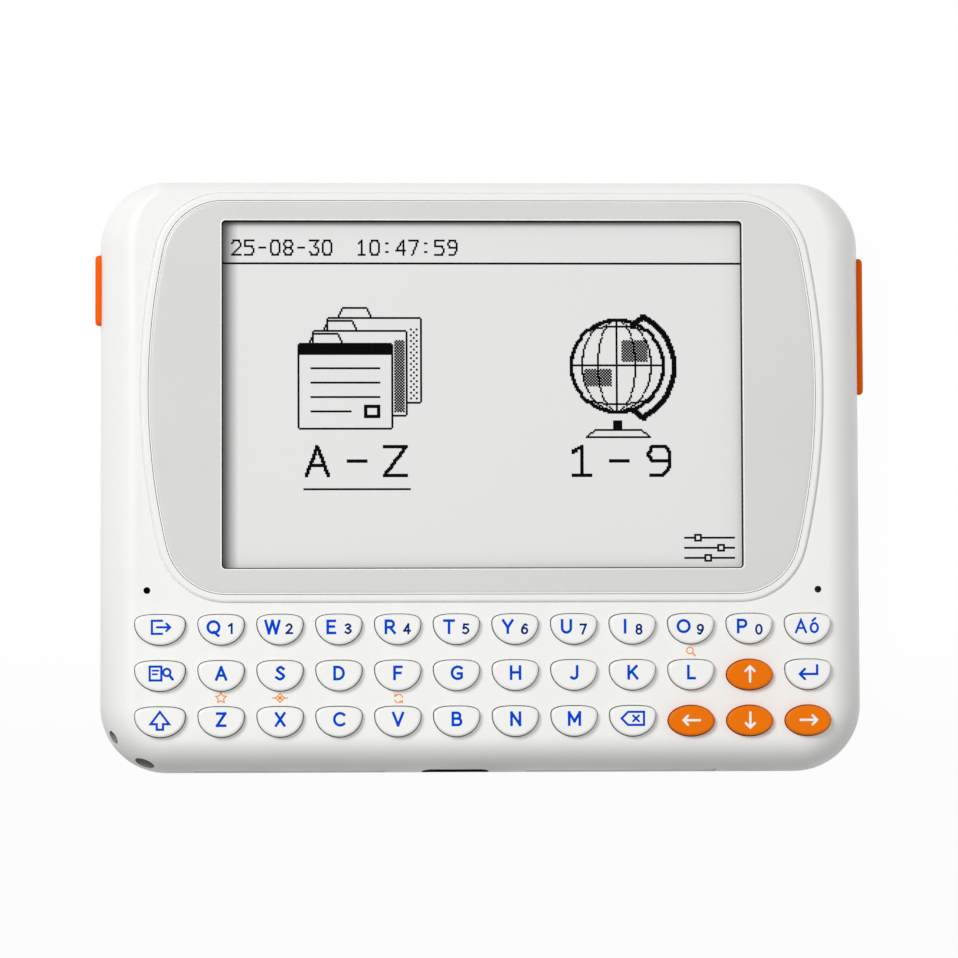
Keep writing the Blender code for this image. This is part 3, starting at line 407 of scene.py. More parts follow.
class Graph:
    """Node tree that is being wired."""

    def __init__(self, tree: bpy.types.NodeTree) -> None:
        """Wraps a node tree."""
        self.tree = tree

    def node(
        self, kind: str, values: dict[str, object] | None = None, **settings: object
    ) -> bpy.types.Node:
        """Adds a node.

        Args:
            kind: Type of the node, without its ShaderNode prefix.
            values: Input values or sockets to link, by input name.
            settings: Properties of the node itself.

        Returns:
            The new node.
        """
        made = self.tree.nodes.new(kind if kind.startswith("Node") else "ShaderNode" + kind)
        for name, value in settings.items():
            setattr(made, name, value)
        for name, value in (values or {}).items():
            self.feed(made.inputs[name], value)
        return made

    def feed(self, socket: bpy.types.NodeSocket, value: object) -> None:
        """Links an output to an input, or gives the input a plain value."""
        if isinstance(value, bpy.types.NodeSocket):
            self.tree.links.new(value, socket)
        else:
            socket.default_value = value

    def bump(
        self, shader: bpy.types.Node, height: object, strength: float, depth: float
    ) -> None:
        """Raises a shader's surface by a height."""
        made = self.node("Bump", {"Height": height, "Strength": strength, "Distance": depth})
        self.feed(shader.inputs["Normal"], made.outputs[0])

    def math(self, operation: str, first: object, second: object = 0.0) -> bpy.types.NodeSocket:
        """Output of a Math node on two sockets or numbers."""
        made = self.tree.nodes.new("ShaderNodeMath")
        made.operation = operation
        for socket, value in zip(made.inputs, (first, second)):
            self.feed(socket, value)
        return made.outputs[0]

    def mix(self, share: object, first: object, second: object) -> bpy.types.NodeSocket:
        """Output of a colour mix, whose share and two colours are sockets or plain values."""
        made = self.tree.nodes.new("ShaderNodeMix")
        made.data_type = "RGBA"
        sockets = (made.inputs[0], made.inputs[6], made.inputs[7])
        for socket, value in zip(sockets, (share, first, second)):
            self.feed(socket, (*value, 1.0) if isinstance(value, tuple) else value)
        return made.outputs[2]

    def span(
        self, value: object, low: float, high: float, start: float, end: float
    ) -> bpy.types.NodeSocket:
        """Value carried from the range low to high to the range start to end, and held there."""
        made = self.node(
            "MapRange",
            {
                "Value": value,
                "From Min": low,
                "From Max": high,
                "To Min": start,
                "To Max": end,
            },
        )
        return made.outputs["Result"]

    def place(self) -> bpy.types.NodeSocket:
        """Object coordinates, which are metres in the dictionary's frame."""
        return self.node("TexCoord").outputs["Object"]


def new_group(
    name: str, numbers: dict[str, float], outputs: dict[str, str]
) -> tuple[Graph, object, object]:
    """Node group with number inputs.

    Args:
        name: Name of the group.
        numbers: Value of each number input, by name.
        outputs: Socket type of each output, by name.

    Returns:
        The group's graph, its input node and its output node.
    """
    tree = bpy.data.node_groups.new(name, "ShaderNodeTree")
    for label, value in numbers.items():
        socket = tree.interface.new_socket(label, in_out="INPUT", socket_type="NodeSocketFloat")
        socket.default_value = value
    for label, kind in outputs.items():
        tree.interface.new_socket(label, in_out="OUTPUT", socket_type=kind)
    graph = Graph(tree)
    return graph, graph.node("NodeGroupInput"), graph.node("NodeGroupOutput")


def moulded_surface_group() -> bpy.types.NodeTree:
    """Grain of a moulded surface.

    Returns:
        Group whose outputs are the height of a fine sparked grain, a slow cloud of tone and
        patches of polish from handling.
    """
    graph, given, out = new_group(
        "moulded_surface",
        {"Grain Scale": 5200.0, "Cloud Scale": 38.0},
        {"Height": "NodeSocketFloat", "Cloud": "NodeSocketFloat", "Polish": "NodeSocketFloat"},
    )
    place = graph.place()
    grain = graph.node("TexNoise", {"Vector": place, "Scale": given.outputs[0], "Detail": 2.0})
    pits = graph.node("TexVoronoi", {"Vector": place, "Scale": given.outputs[0]})
    height = graph.math(
        "ADD",
        graph.math("MULTIPLY", grain.outputs[0], 0.65),
        graph.math("MULTIPLY", pits.outputs["Distance"], 0.35),
    )
    cloud = graph.node("TexNoise", {"Vector": place, "Scale": given.outputs[1], "Detail": 3.0})
    polish = graph.node("TexNoise", {"Vector": place, "Scale": 130.0, "Detail": 4.0, "Roughness": 0.62})
    for socket, value in zip(
        out.inputs,
        (
            height,
            graph.span(cloud.outputs[0], 0.3, 0.7, 0.0, 1.0),
            graph.span(polish.outputs[0], 0.35, 0.68, 0.0, 1.0),
        ),
    ):
        graph.tree.links.new(value, socket)
    return graph.tree


def edge_wear_group() -> bpy.types.NodeTree:
    """Where edges are rubbed by handling.

    Returns:
        Group whose output is 1 on worn stretches of an edge and 0 elsewhere.
    """
    graph, given, out = new_group(
        "edge_wear", {"Reach": 0.52}, {"Wear": "NodeSocketFloat"}
    )
    sharpness = graph.node("NewGeometry").outputs["Pointiness"]
    rub = graph.node("TexNoise", {"Vector": graph.place(), "Scale": 900.0, "Detail": 3.0})
    edge = graph.math("SUBTRACT", sharpness, given.outputs[0])
    wear = graph.math("MULTIPLY", graph.span(edge, 0.0, 0.09, 0.0, 1.0), rub.outputs[0])
    graph.tree.links.new(wear, out.inputs[0])
    return graph.tree


def dust_group() -> bpy.types.NodeTree:
    """Fine dust that lies on faces that look up and in hollows.

    Returns:
        Group whose output is 1 where a speck of dust lies.
    """
    graph, given, out = new_group("dust", {"Specks": 1500.0}, {"Dust": "NodeSocketFloat"})
    geometry = graph.node("NewGeometry")
    split = graph.node("SeparateXYZ", {"Vector": geometry.outputs["Normal"]})
    specks = graph.node("TexVoronoi", {"Vector": graph.place(), "Scale": given.outputs[0]})
    veil = graph.node("TexNoise", {"Vector": graph.place(), "Scale": 220.0, "Detail": 2.0})
    speck = graph.span(specks.outputs["Distance"], 0.0, 0.12, 1.0, 0.0)
    lying = graph.span(split.outputs["Z"], 0.5, 1.0, 0.0, 1.0)
    dust = graph.math(
        "MULTIPLY",
        graph.math("MULTIPLY", speck, lying),
        graph.span(veil.outputs[0], 0.5, 0.62, 0.0, 1.0),
    )
    graph.tree.links.new(dust, out.inputs[0])
    return graph.tree


@dataclass(frozen=True)
class Plastic:
    """Moulded plastic.

    The two tones are its colour at either end of a slow cloud, and the worn tone is what shows on
    rubbed edges.
    """

    name: str
    tone: Colour
    second_tone: Colour
    worn_tone: Colour
    roughness: float
    polish: float = 0.08
    grain_scale: float = 5200.0
    grain_depth: float = 0.000004
    wear: float = 0.35
    dust: float = 0.10
    coat: float = 0.0
    specular: float = 0.5

    def material(self) -> bpy.types.Material:
        """Procedural material of this plastic."""
        made, graph, shader = principled(self.name)
        surface = graph.node("Group", node_tree=SHARED["surface"])
        surface.inputs["Grain Scale"].default_value = self.grain_scale
        wear = graph.node("Group", node_tree=SHARED["wear"]).outputs["Wear"]
        dust = graph.node("Group", node_tree=SHARED["dust"]).outputs["Dust"]
        plain = graph.mix(surface.outputs["Cloud"], self.tone, self.second_tone)
        worn = graph.mix(graph.math("MULTIPLY", wear, self.wear), plain, self.worn_tone)
        dusty = graph.mix(graph.math("MULTIPLY", dust, self.dust), worn, (0.62, 0.60, 0.56))
        graph.tree.links.new(dusty, shader.inputs["Base Color"])
        roughness = graph.span(
            surface.outputs["Polish"], 0.0, 1.0, self.roughness + self.polish, self.roughness - self.polish
        )
        graph.tree.links.new(roughness, shader.inputs["Roughness"])
        graph.bump(shader, surface.outputs["Height"], 1.0, self.grain_depth)
        shader.inputs["Coat Weight"].default_value = self.coat
        shader.inputs["Specular IOR Level"].default_value = self.specular
        return made


@dataclass(frozen=True)
class Metal:
    """Drawn or turned metal with fine scratches along one direction."""

    name: str
    tone: Colour
    dull_tone: Colour
    roughness: float
    stretch: tuple[float, float, float] = (1.0, 1.0, 12.0)

    def material(self) -> bpy.types.Material:
        """Procedural material of this metal."""
        made, graph, shader = principled(self.name)
        drawn = graph.node("Mapping", {"Vector": graph.place(), "Scale": self.stretch})
        scratches = graph.node(
            "TexNoise", {"Vector": drawn.outputs[0], "Scale": 1400.0, "Detail": 4.0}
        )
        wear = graph.node("Group", node_tree=SHARED["wear"]).outputs["Wear"]
        tone = graph.mix(graph.span(scratches.outputs[0], 0.35, 0.7, 0.0, 1.0), self.tone, self.dull_tone)
        bright = graph.mix(graph.math("MULTIPLY", wear, 0.5), tone, (0.9, 0.9, 0.9))
        graph.tree.links.new(bright, shader.inputs["Base Color"])
        graph.tree.links.new(
            graph.span(scratches.outputs[0], 0.3, 0.7, self.roughness - 0.08, self.roughness + 0.1),
            shader.inputs["Roughness"],
        )
        graph.bump(shader, scratches.outputs[0], 0.5, 0.000004)
        shader.inputs["Metallic"].default_value = 1.0
        return made


@dataclass(frozen=True)
class Ink:
    """Printed ink, a little uneven in its cover."""

    name: str
    tone: Colour
    thin_tone: Colour
    roughness: float = 0.55
    specular: float = 0.12

    def material(self) -> bpy.types.Material:
        """Procedural material of this ink."""
        made, graph, shader = principled(self.name)
        cover = graph.node("TexNoise", {"Vector": graph.place(), "Scale": 3600.0, "Detail": 2.0})
        share = graph.span(cover.outputs[0], 0.45, 0.75, 0.0, 1.0)
        graph.tree.links.new(graph.mix(share, self.tone, self.thin_tone), shader.inputs["Base Color"])
        graph.tree.links.new(
            graph.span(cover.outputs[0], 0.3, 0.7, self.roughness - 0.06, self.roughness + 0.06),
            shader.inputs["Roughness"],
        )
        graph.bump(shader, cover.outputs[0], 0.4, 0.000003)
        shader.inputs["Specular IOR Level"].default_value = self.specular
        return made


@dataclass(frozen=True)
class LiquidCrystal:
    """Face of the display: a grey reflective cell with a grid of dots.

    The two painted shadows darken a soft border along the left and the top edge of the face: a
    painted shadow of the deep window. Each is where it starts, where it ends and how light it starts.
    """

    name: str
    tone: Colour
    gap_tone: Colour
    dot_pitch: float
    corner: Point
    roughness: float = 0.28
    specular: float = 0.2
    left_painted_shadow: tuple[float, float, float] = (0.0009, 0.0023, 0.42)
    top_painted_shadow: tuple[float, float, float] = (0.0002, 0.0006, 0.55)

    def material(self) -> bpy.types.Material:
        """Procedural material of the display's face."""
        made, graph, shader = principled(self.name)
        split = graph.node("SeparateXYZ", {"Vector": graph.place()})
        lines = []
        for axis in ("X", "Y"):
            step = graph.math("DIVIDE", split.outputs[axis], self.dot_pitch)
            part = graph.math("ABSOLUTE", graph.math("SUBTRACT", graph.math("FRACT", step), 0.5))
            lines.append(graph.span(part, 0.42, 0.47, 0.0, 1.0))
        gap = graph.math("MAXIMUM", *lines)
        cloud = graph.node("TexNoise", {"Vector": graph.place(), "Scale": 26.0, "Detail": 2.0})
        speckle = graph.node("TexNoise", {"Vector": graph.place(), "Scale": 9000.0, "Detail": 1.0})
        grain = graph.math(
            "ADD",
            graph.math("MULTIPLY", cloud.outputs[0], 0.30),
            graph.math("MULTIPLY", speckle.outputs[0], 0.20),
        )
        share = graph.math("ADD", graph.math("MULTIPLY", gap, 0.35), graph.math("SUBTRACT", grain, 0.25))
        face = graph.mix(share, self.tone, self.gap_tone)
        # Painted shadow: a soft dark border along the window's left and top edge.
        from_left = graph.math("SUBTRACT", split.outputs["X"], self.corner[0])
        from_top = graph.math("SUBTRACT", self.corner[1], split.outputs["Y"])
        painted_shadow = graph.math(
            "MULTIPLY", graph.span(from_left, *self.left_painted_shadow, 1.0), graph.span(from_top, *self.top_painted_shadow, 1.0)
        )
        graph.tree.links.new(graph.mix(painted_shadow, (0.0, 0.0, 0.0), face), shader.inputs["Base Color"])
        graph.tree.links.new(
            graph.span(speckle.outputs[0], 0.3, 0.7, self.roughness - 0.05, self.roughness + 0.05),
            shader.inputs["Roughness"],
        )
        shader.inputs["Specular IOR Level"].default_value = self.specular
        return made


@dataclass(frozen=True)
class Laminate:
    """Green circuit board, film or cell wrap: a base tone with lines of a second tone."""

    name: str
    tone: Colour
    line_tone: Colour
    roughness: float
    line_scale: float
    line_share: float
    metallic: float = 0.0

    def material(self) -> bpy.types.Material:
        """Procedural material of this laminate."""
        made, graph, shader = principled(self.name)
        place = graph.place()
        tracks = graph.node(
            "TexVoronoi",
            {"Vector": place, "Scale": self.line_scale, "Randomness": 0.55},
            distance="MANHATTAN",
        )
        haze = graph.node("TexNoise", {"Vector": place, "Scale": 900.0, "Detail": 3.0})
        line = graph.span(tracks.outputs["Distance"], 0.20, 0.26, self.line_share, 0.0)
        tone = graph.mix(line, self.tone, self.line_tone)
        graph.tree.links.new(tone, shader.inputs["Base Color"])
        graph.tree.links.new(
            graph.span(haze.outputs[0], 0.3, 0.7, self.roughness - 0.08, self.roughness + 0.08),
            shader.inputs["Roughness"],
        )
        graph.bump(shader, haze.outputs[0], 0.3, 0.00001)
        shader.inputs["Metallic"].default_value = self.metallic
        return made


SHARED: dict[str, bpy.types.NodeTree] = {}


def principled(name: str) -> tuple[bpy.types.Material, Graph, bpy.types.Node]:
    """New material.

    Args:
        name: Name of the material.

    Returns:
        The material, its graph and its Principled shader.
    """
    made = bpy.data.materials.new(name)
    made.use_nodes = True
    return made, Graph(made.node_tree), made.node_tree.nodes["Principled BSDF"]


class Palette:
    """Every finish of the dictionary, made into materials once."""

    def __init__(self) -> None:
        """Makes the shared groups and the materials."""
        SHARED["surface"] = moulded_surface_group()
        SHARED["wear"] = edge_wear_group()
        SHARED["dust"] = dust_group()
        self.casing = Plastic(
            "white_casing_plastic",
            (0.880, 0.878, 0.865),
            (0.868, 0.866, 0.850),
            (0.900, 0.898, 0.888),
            roughness=0.40,
        ).material()
        self.panel = Plastic(
            "grey_panel_lacquer",
            (0.690, 0.690, 0.687),
            (0.672, 0.672, 0.668),
            (0.74, 0.74, 0.74),
            roughness=0.30,
            grain_scale=7000.0,
            grain_depth=0.0000015,
        ).material()
        self.white_key = Plastic(
            "white_key_plastic",
            (0.912, 0.915, 0.905),
            (0.898, 0.901, 0.890),
            (0.93, 0.93, 0.92),
            roughness=0.33,
            grain_scale=8000.0,
            grain_depth=0.000001,
        ).material()
        self.orange_key = Plastic(
            "orange_key_plastic",
            (0.865, 0.188, 0.001),
            (0.840, 0.172, 0.001),
            (0.93, 0.28, 0.03),
            roughness=0.34,
            grain_scale=8000.0,
            grain_depth=0.000001,
            specular=0.07,
        ).material()
        self.orange_button = Plastic(
            "orange_button_plastic",
            (0.90, 0.125, 0.001),
            (0.87, 0.112, 0.001),
            (0.93, 0.22, 0.02),
            roughness=0.32,
            specular=0.05,
        ).material()
        self.black_plastic = Plastic(
            "black_plastic",
            (0.012, 0.012, 0.013),
            (0.018, 0.018, 0.019),
            (0.06, 0.06, 0.06),
            roughness=0.55,
            specular=0.2,
        ).material()
        self.gasket = Plastic(
            "black_gasket_foam",
            (0.010, 0.010, 0.010),
            (0.016, 0.016, 0.016),
            (0.03, 0.03, 0.03),
            roughness=0.80,
            grain_scale=9000.0,
            grain_depth=0.000006,
            specular=0.1,
        ).material()
        # Dark grey brown for the casing's inner walls and pin holes: painted shade, darker than the white
        # plastic, for the gaps round the keys and the holes.
        self.painted_shade_wall = Plastic(
            "grey_brown_inner_wall",
            (0.080, 0.062, 0.045),
            (0.062, 0.048, 0.036),
            (0.20, 0.18, 0.16),
            roughness=0.65,
            specular=0.2,
        ).material()
        # Dark grey for the lanyard bores' walls: painted shade in the bores.
        self.painted_shade_bore = Plastic(
            "dark_bore_wall",
            (0.24, 0.235, 0.23),
            (0.19, 0.185, 0.18),
            (0.25, 0.25, 0.25),
            roughness=0.60,
            specular=0.2,
        ).material()
        # Bright plastic of the lines round the panel and the window: painted highlights of their edges.
        self.painted_highlight_look = Plastic(
            "bright_trim_plastic",
            (0.925, 0.925, 0.920),
            (0.910, 0.910, 0.905),
            (0.95, 0.95, 0.95),
            roughness=0.22,
            grain_depth=0.000001,
        ).material()
        self.tongue = Plastic(
            "grey_tongue_plastic",
            (0.090, 0.090, 0.092),
            (0.075, 0.075, 0.077),
            (0.16, 0.16, 0.16),
            roughness=0.45,
        ).material()
        self.rubber = Plastic(
            "grey_rubber",
            (0.36, 0.36, 0.345),
            (0.33, 0.33, 0.32),
            (0.45, 0.45, 0.43),
            roughness=0.78,
            grain_depth=0.000008,
        ).material()
        self.lens = Plastic(
            "clear_lens_plastic",
            (0.72, 0.74, 0.72),
            (0.66, 0.68, 0.66),
            (0.80, 0.82, 0.80),
            roughness=0.18,
        ).material()
        self.steel = Metal("plated_steel", (0.58, 0.58, 0.60), (0.42, 0.42, 0.44), 0.30).material()
        self.screw_steel = Metal(
            "blackened_screw_steel", (0.20, 0.20, 0.21), (0.12, 0.12, 0.125), 0.36
        ).material()
        self.dark_nickel = Metal(
            "dark_nickel_mouth", (0.030, 0.030, 0.032), (0.018, 0.018, 0.020), 0.42
        ).material()
        self.gold = Metal("gold_contacts", (0.85, 0.60, 0.22), (0.70, 0.47, 0.16), 0.26).material()
        self.display = LiquidCrystal(
            "liquid_crystal_face",
            (0.785, 0.786, 0.784),
            (0.705, 0.706, 0.705),
            dot_pitch=0.0002,
            corner=(-0.03613, 0.03518),
        ).material()
        self.dark_dots = Ink(
            "dark_display_dots", (0.002, 0.002, 0.003), (0.005, 0.005, 0.006), specular=0.05
        ).material()
        self.blue_ink = Ink(
            "blue_legend_ink", (0.0, 0.060, 0.62), (0.0, 0.075, 0.66), specular=0.0
        ).material()
        self.navy_ink = Ink(
            "navy_legend_ink", (0.002, 0.022, 0.20), (0.004, 0.030, 0.24), specular=0.0
        ).material()
        self.white_ink = Ink("white_legend_ink", (0.90, 0.89, 0.87), (0.85, 0.80, 0.76)).material()
        self.orange_ink = Ink("orange_casing_ink", (0.86, 0.26, 0.02), (0.88, 0.34, 0.06)).material()
        self.board = Laminate(
            "green_circuit_board", (0.012, 0.13, 0.045), (0.03, 0.21, 0.08), 0.40, 420.0, 1.0
        ).material()
        self.film = Laminate(
            "amber_dome_film", (0.62, 0.40, 0.13), (0.50, 0.30, 0.08), 0.30, 700.0, 0.7
        ).material()
        self.cell = Laminate(
            "cell_wrap", (0.16, 0.18, 0.23), (0.20, 0.22, 0.27), 0.42, 260.0, 0.5, metallic=0.25
        ).material()


# Shared shapes of the dictionary


@dataclass(frozen=True)
class CasingForm:
    """Pillow form that the front and the rear of the casing share."""

    width: float = 0.1062
    height: float = 0.0825
    corner_radius: float = 0.0093
    face_level: float = 0.0133
    widest_level: float = 0.0045
    parting_level: float = 0.0036
    wall: float = 0.0015
    front_reaches: tuple[float, float, float] = (0.0053, 0.0022, 0.0050)
    back_reach: float = 0.0030
    back_edge_depth: float = 0.0029
    corner_steps: int = 24

    @property
    def cavity_top(self) -> float:
        """Level of the face's inner side."""
        return self.face_level - self.wall

    def outline(self, side: float, top: float, bottom: float) -> Outline:
        """Outline drawn in by three amounts.

        Args:
            side: Distance that the left and right sides come in.
            top: Distance that the top edge comes in.
            bottom: Distance that the bottom edge comes in.

        Returns:
            The points, with elliptical corners.
        """
        points: Outline = []
        for corner, (across, end) in enumerate(((1, 1), (-1, 1), (-1, -1), (1, -1))):
            drawn_in = top if end > 0 else bottom
            middle = (
                across * (self.width / 2 - self.corner_radius),
                end * (self.height / 2 - self.corner_radius),
            )
            radii = (self.corner_radius - side, self.corner_radius - drawn_in)
            points += arc(middle, radii, 90 * corner, 90 * (corner + 1), self.corner_steps)
        return points

    def pillow(
        self, inset: float, reaches: tuple[float, float, float], straight: float, widest: float,
        end: float, steps: int, edge: float = 0.0,
    ) -> list[Ring]:
        """Rings of a pillow: straight to its widest level, then in along a quarter ellipse.

        Args:
            inset: Distance inside the casing's own surface.
            reaches: Distance that the sides, the top and the bottom come in over the height.
            straight: Level where the straight stretch starts.
            widest: Level where it starts to come in.
            end: Level of the flat face.
            steps: Number of rings round the edge.
            edge: Radius of the rounded edge where the straight stretch starts.

        Returns:
            The rings, from the straight stretch to the face.
        """
        side, top, bottom = reaches
        way = math.copysign(1, end - straight)
        rings: list[Ring] = []
        for drawn_in, rise in reversed(rounding(edge, 3)) if edge else [(0.0, edge)]:
            grow = inset + drawn_in
            rings.append(Ring(self.outline(grow, grow, grow), straight + way * (edge - rise)))
        if edge:
            rings.sort(key=lambda ring: way * ring.level)
        for step in range(steps + 1):
            turn = RIGHT_ANGLE * step / steps
            share = 1 - math.cos(turn)
            outline = self.outline(inset + side * share, inset + top * share, inset + bottom * share)
            rings.append(Ring(outline, widest + (end - widest) * math.sin(turn)))
        return rings


@dataclass(frozen=True)
class BarrelForm:
    """Outline of the screen panel: flat top and bottom, bulging sides and round corners."""

    half_width: float = 0.0460
    top: float = 0.03765
    bottom: float = -0.01644
    waist: float = 0.011505
    side_radius: float = 0.0940
    corner_radius: float = 0.0083
    side_steps: int = 24
    corner_steps: int = 20

    def outline(self, grow: float) -> Outline:
        """Outline grown by a distance."""
        side_radius = self.side_radius + grow
        corner_radius = self.corner_radius + grow
        centre_x = self.half_width - self.side_radius
        spread = side_radius - corner_radius
        turns, middles = [], []
        for y in (self.bottom + self.corner_radius, self.top - self.corner_radius):
            turn = math.asin((y - self.waist) / spread)
            turns.append(math.degrees(turn))
            middles.append((centre_x + spread * math.cos(turn), y))
        radii = (corner_radius, corner_radius)
        half = arc(middles[0], radii, -90, turns[0], self.corner_steps)
        half += arc((centre_x, self.waist), (side_radius, side_radius), *turns, self.side_steps)[1:-1]
        half += arc(middles[1], radii, turns[1], 90, self.corner_steps)
        return half + [(-x, y) for x, y in reversed(half)]


@dataclass(frozen=True)
class Key:
    """One key: its name, size, shape and place."""

    name: str
    width: float
    shape: CapShape
    place: Point

    @property
    def body(self) -> str:
        """Body of the frame that the cap rides on."""
        return self.name + "_key"


@dataclass(frozen=True)
class KeypadForm:
    """Places and outlines of the keys."""

    key_width: float = 0.00629
    key_height: float = 0.00414
    pitch: Point = (0.008115, 0.00636)
    last_column: float = 0.04493
    top_row: float = -0.02155
    wide_extra: float = 0.0006
    clearance: float = 0.00012
    sides: int = 64
    rows: tuple[tuple[str, ...], ...] = (
        ("exit", "q", "w", "e", "r", "t", "y", "u", "i", "o", "p", "accent"),
        ("look_up", "a", "s", "d", "f", "g", "h", "j", "k", "l", "up", "enter"),
        ("shift", "z", "x", "c", "v", "b", "n", "m", "delete", "left", "down", "right"),
    )
    round_keys: tuple[str, ...] = ("up", "left", "down", "right")

    def keys(self) -> list[Key]:
        """Every key, row by row."""
        found = []
        for row, names in enumerate(self.rows):
            y = self.top_row - self.pitch[1] * row
            for column, name in enumerate(names):
                extra = 0.0 if column else self.wide_extra
                x = self.last_column - self.pitch[0] * (len(names) - 1 - column) - extra / 2
                shape = CapShape.ROUND if name in self.round_keys else CapShape.HALF_MOON
                found.append(Key(name, self.key_width + extra, shape, (x, y)))
        return found

    def outline(self, key: Key, grow: float) -> Outline:
        """Outline of a key round the origin.

        Args:
            key: The key.
            grow: Distance that the outline grows.

        Returns:
            The points, anticlockwise from the right.
        """
        shoulder, squareness = key.shape.value
        above = self.key_height * shoulder + grow
        below = self.key_height * (1 - shoulder) + grow
        shoulder_y = self.key_height * (0.5 - shoulder)
        points = []
        for side in range(self.sides):
            across = math.cos(math.tau * side / self.sides)
            up = math.sin(math.tau * side / self.sides)
            if up > 0:
                x = math.copysign(abs(across) ** (2 / squareness), across)
                y = above * up ** (2 / squareness)
            else:
                x, y = across, below * up
            points.append((x * (key.width / 2 + grow), shoulder_y + y))
        return points


@dataclass(frozen=True)
class ScreenForm:
    """Window in the panel and the display behind it."""

    width: float = 0.0720
    height: float = 0.04809
    centre: Point = (0.0, 0.011005)
    radius: float = 0.0004
    display_margins: Point = (0.0018, 0.0013)
    display_radius: float = 0.0005
    display_low: float = 0.0109
    display_top: float = 0.0124

    def window(self, grow: float) -> Outline:
        """Outline of the window grown by a distance."""
        return rounded_rectangle(
            self.width + 2 * grow, self.height + 2 * grow, self.radius + grow, 6, self.centre
        )

    def display(self, grow: float) -> Outline:
        """Outline of the display grown by a distance."""
        return rounded_rectangle(
            self.width + 2 * (self.display_margins[0] + grow),
            self.height + 2 * (self.display_margins[1] + grow),
            self.display_radius + max(grow, -self.display_radius * 0.8),
            6,
            self.centre,
        )


@dataclass(frozen=True)
class ButtonForm:
    """Side button with round ends, seen from its own side."""

    side: Side
    y: float
    length: float
    end_clearance: float
    level: float = 0.0059
    thickness: float = 0.0018
    clearance: float = 0.0002

    def outline(self, longer: float, thicker: float) -> Outline:
        """Outline of the button, made longer and thicker by two amounts."""
        thickness = self.thickness + thicker
        return rounded_rectangle(self.length + longer, thickness, (thickness - 0.0001) / 2, 12)


@dataclass(frozen=True)
class PortForm:
    """Charging port in the bottom edge."""

    x: float = -0.0037
    level: float = 0.0061
    width: float = 0.0089
    thickness: float = 0.0032
    radius: float = 0.0012
    clearance: float = 0.0002

    def outline(self, grow: float) -> Outline:
        """Outline of the port grown by a distance."""
        return rounded_rectangle(
            self.width + 2 * grow, self.thickness + 2 * grow, self.radius + grow, 12
        )


SCREW_PLACES: tuple[Point, ...] = tuple(
    (side * 0.0472, y) for y in (0.03345, -0.00964) for side in (-1, 1)
)


# Sub-assemblies


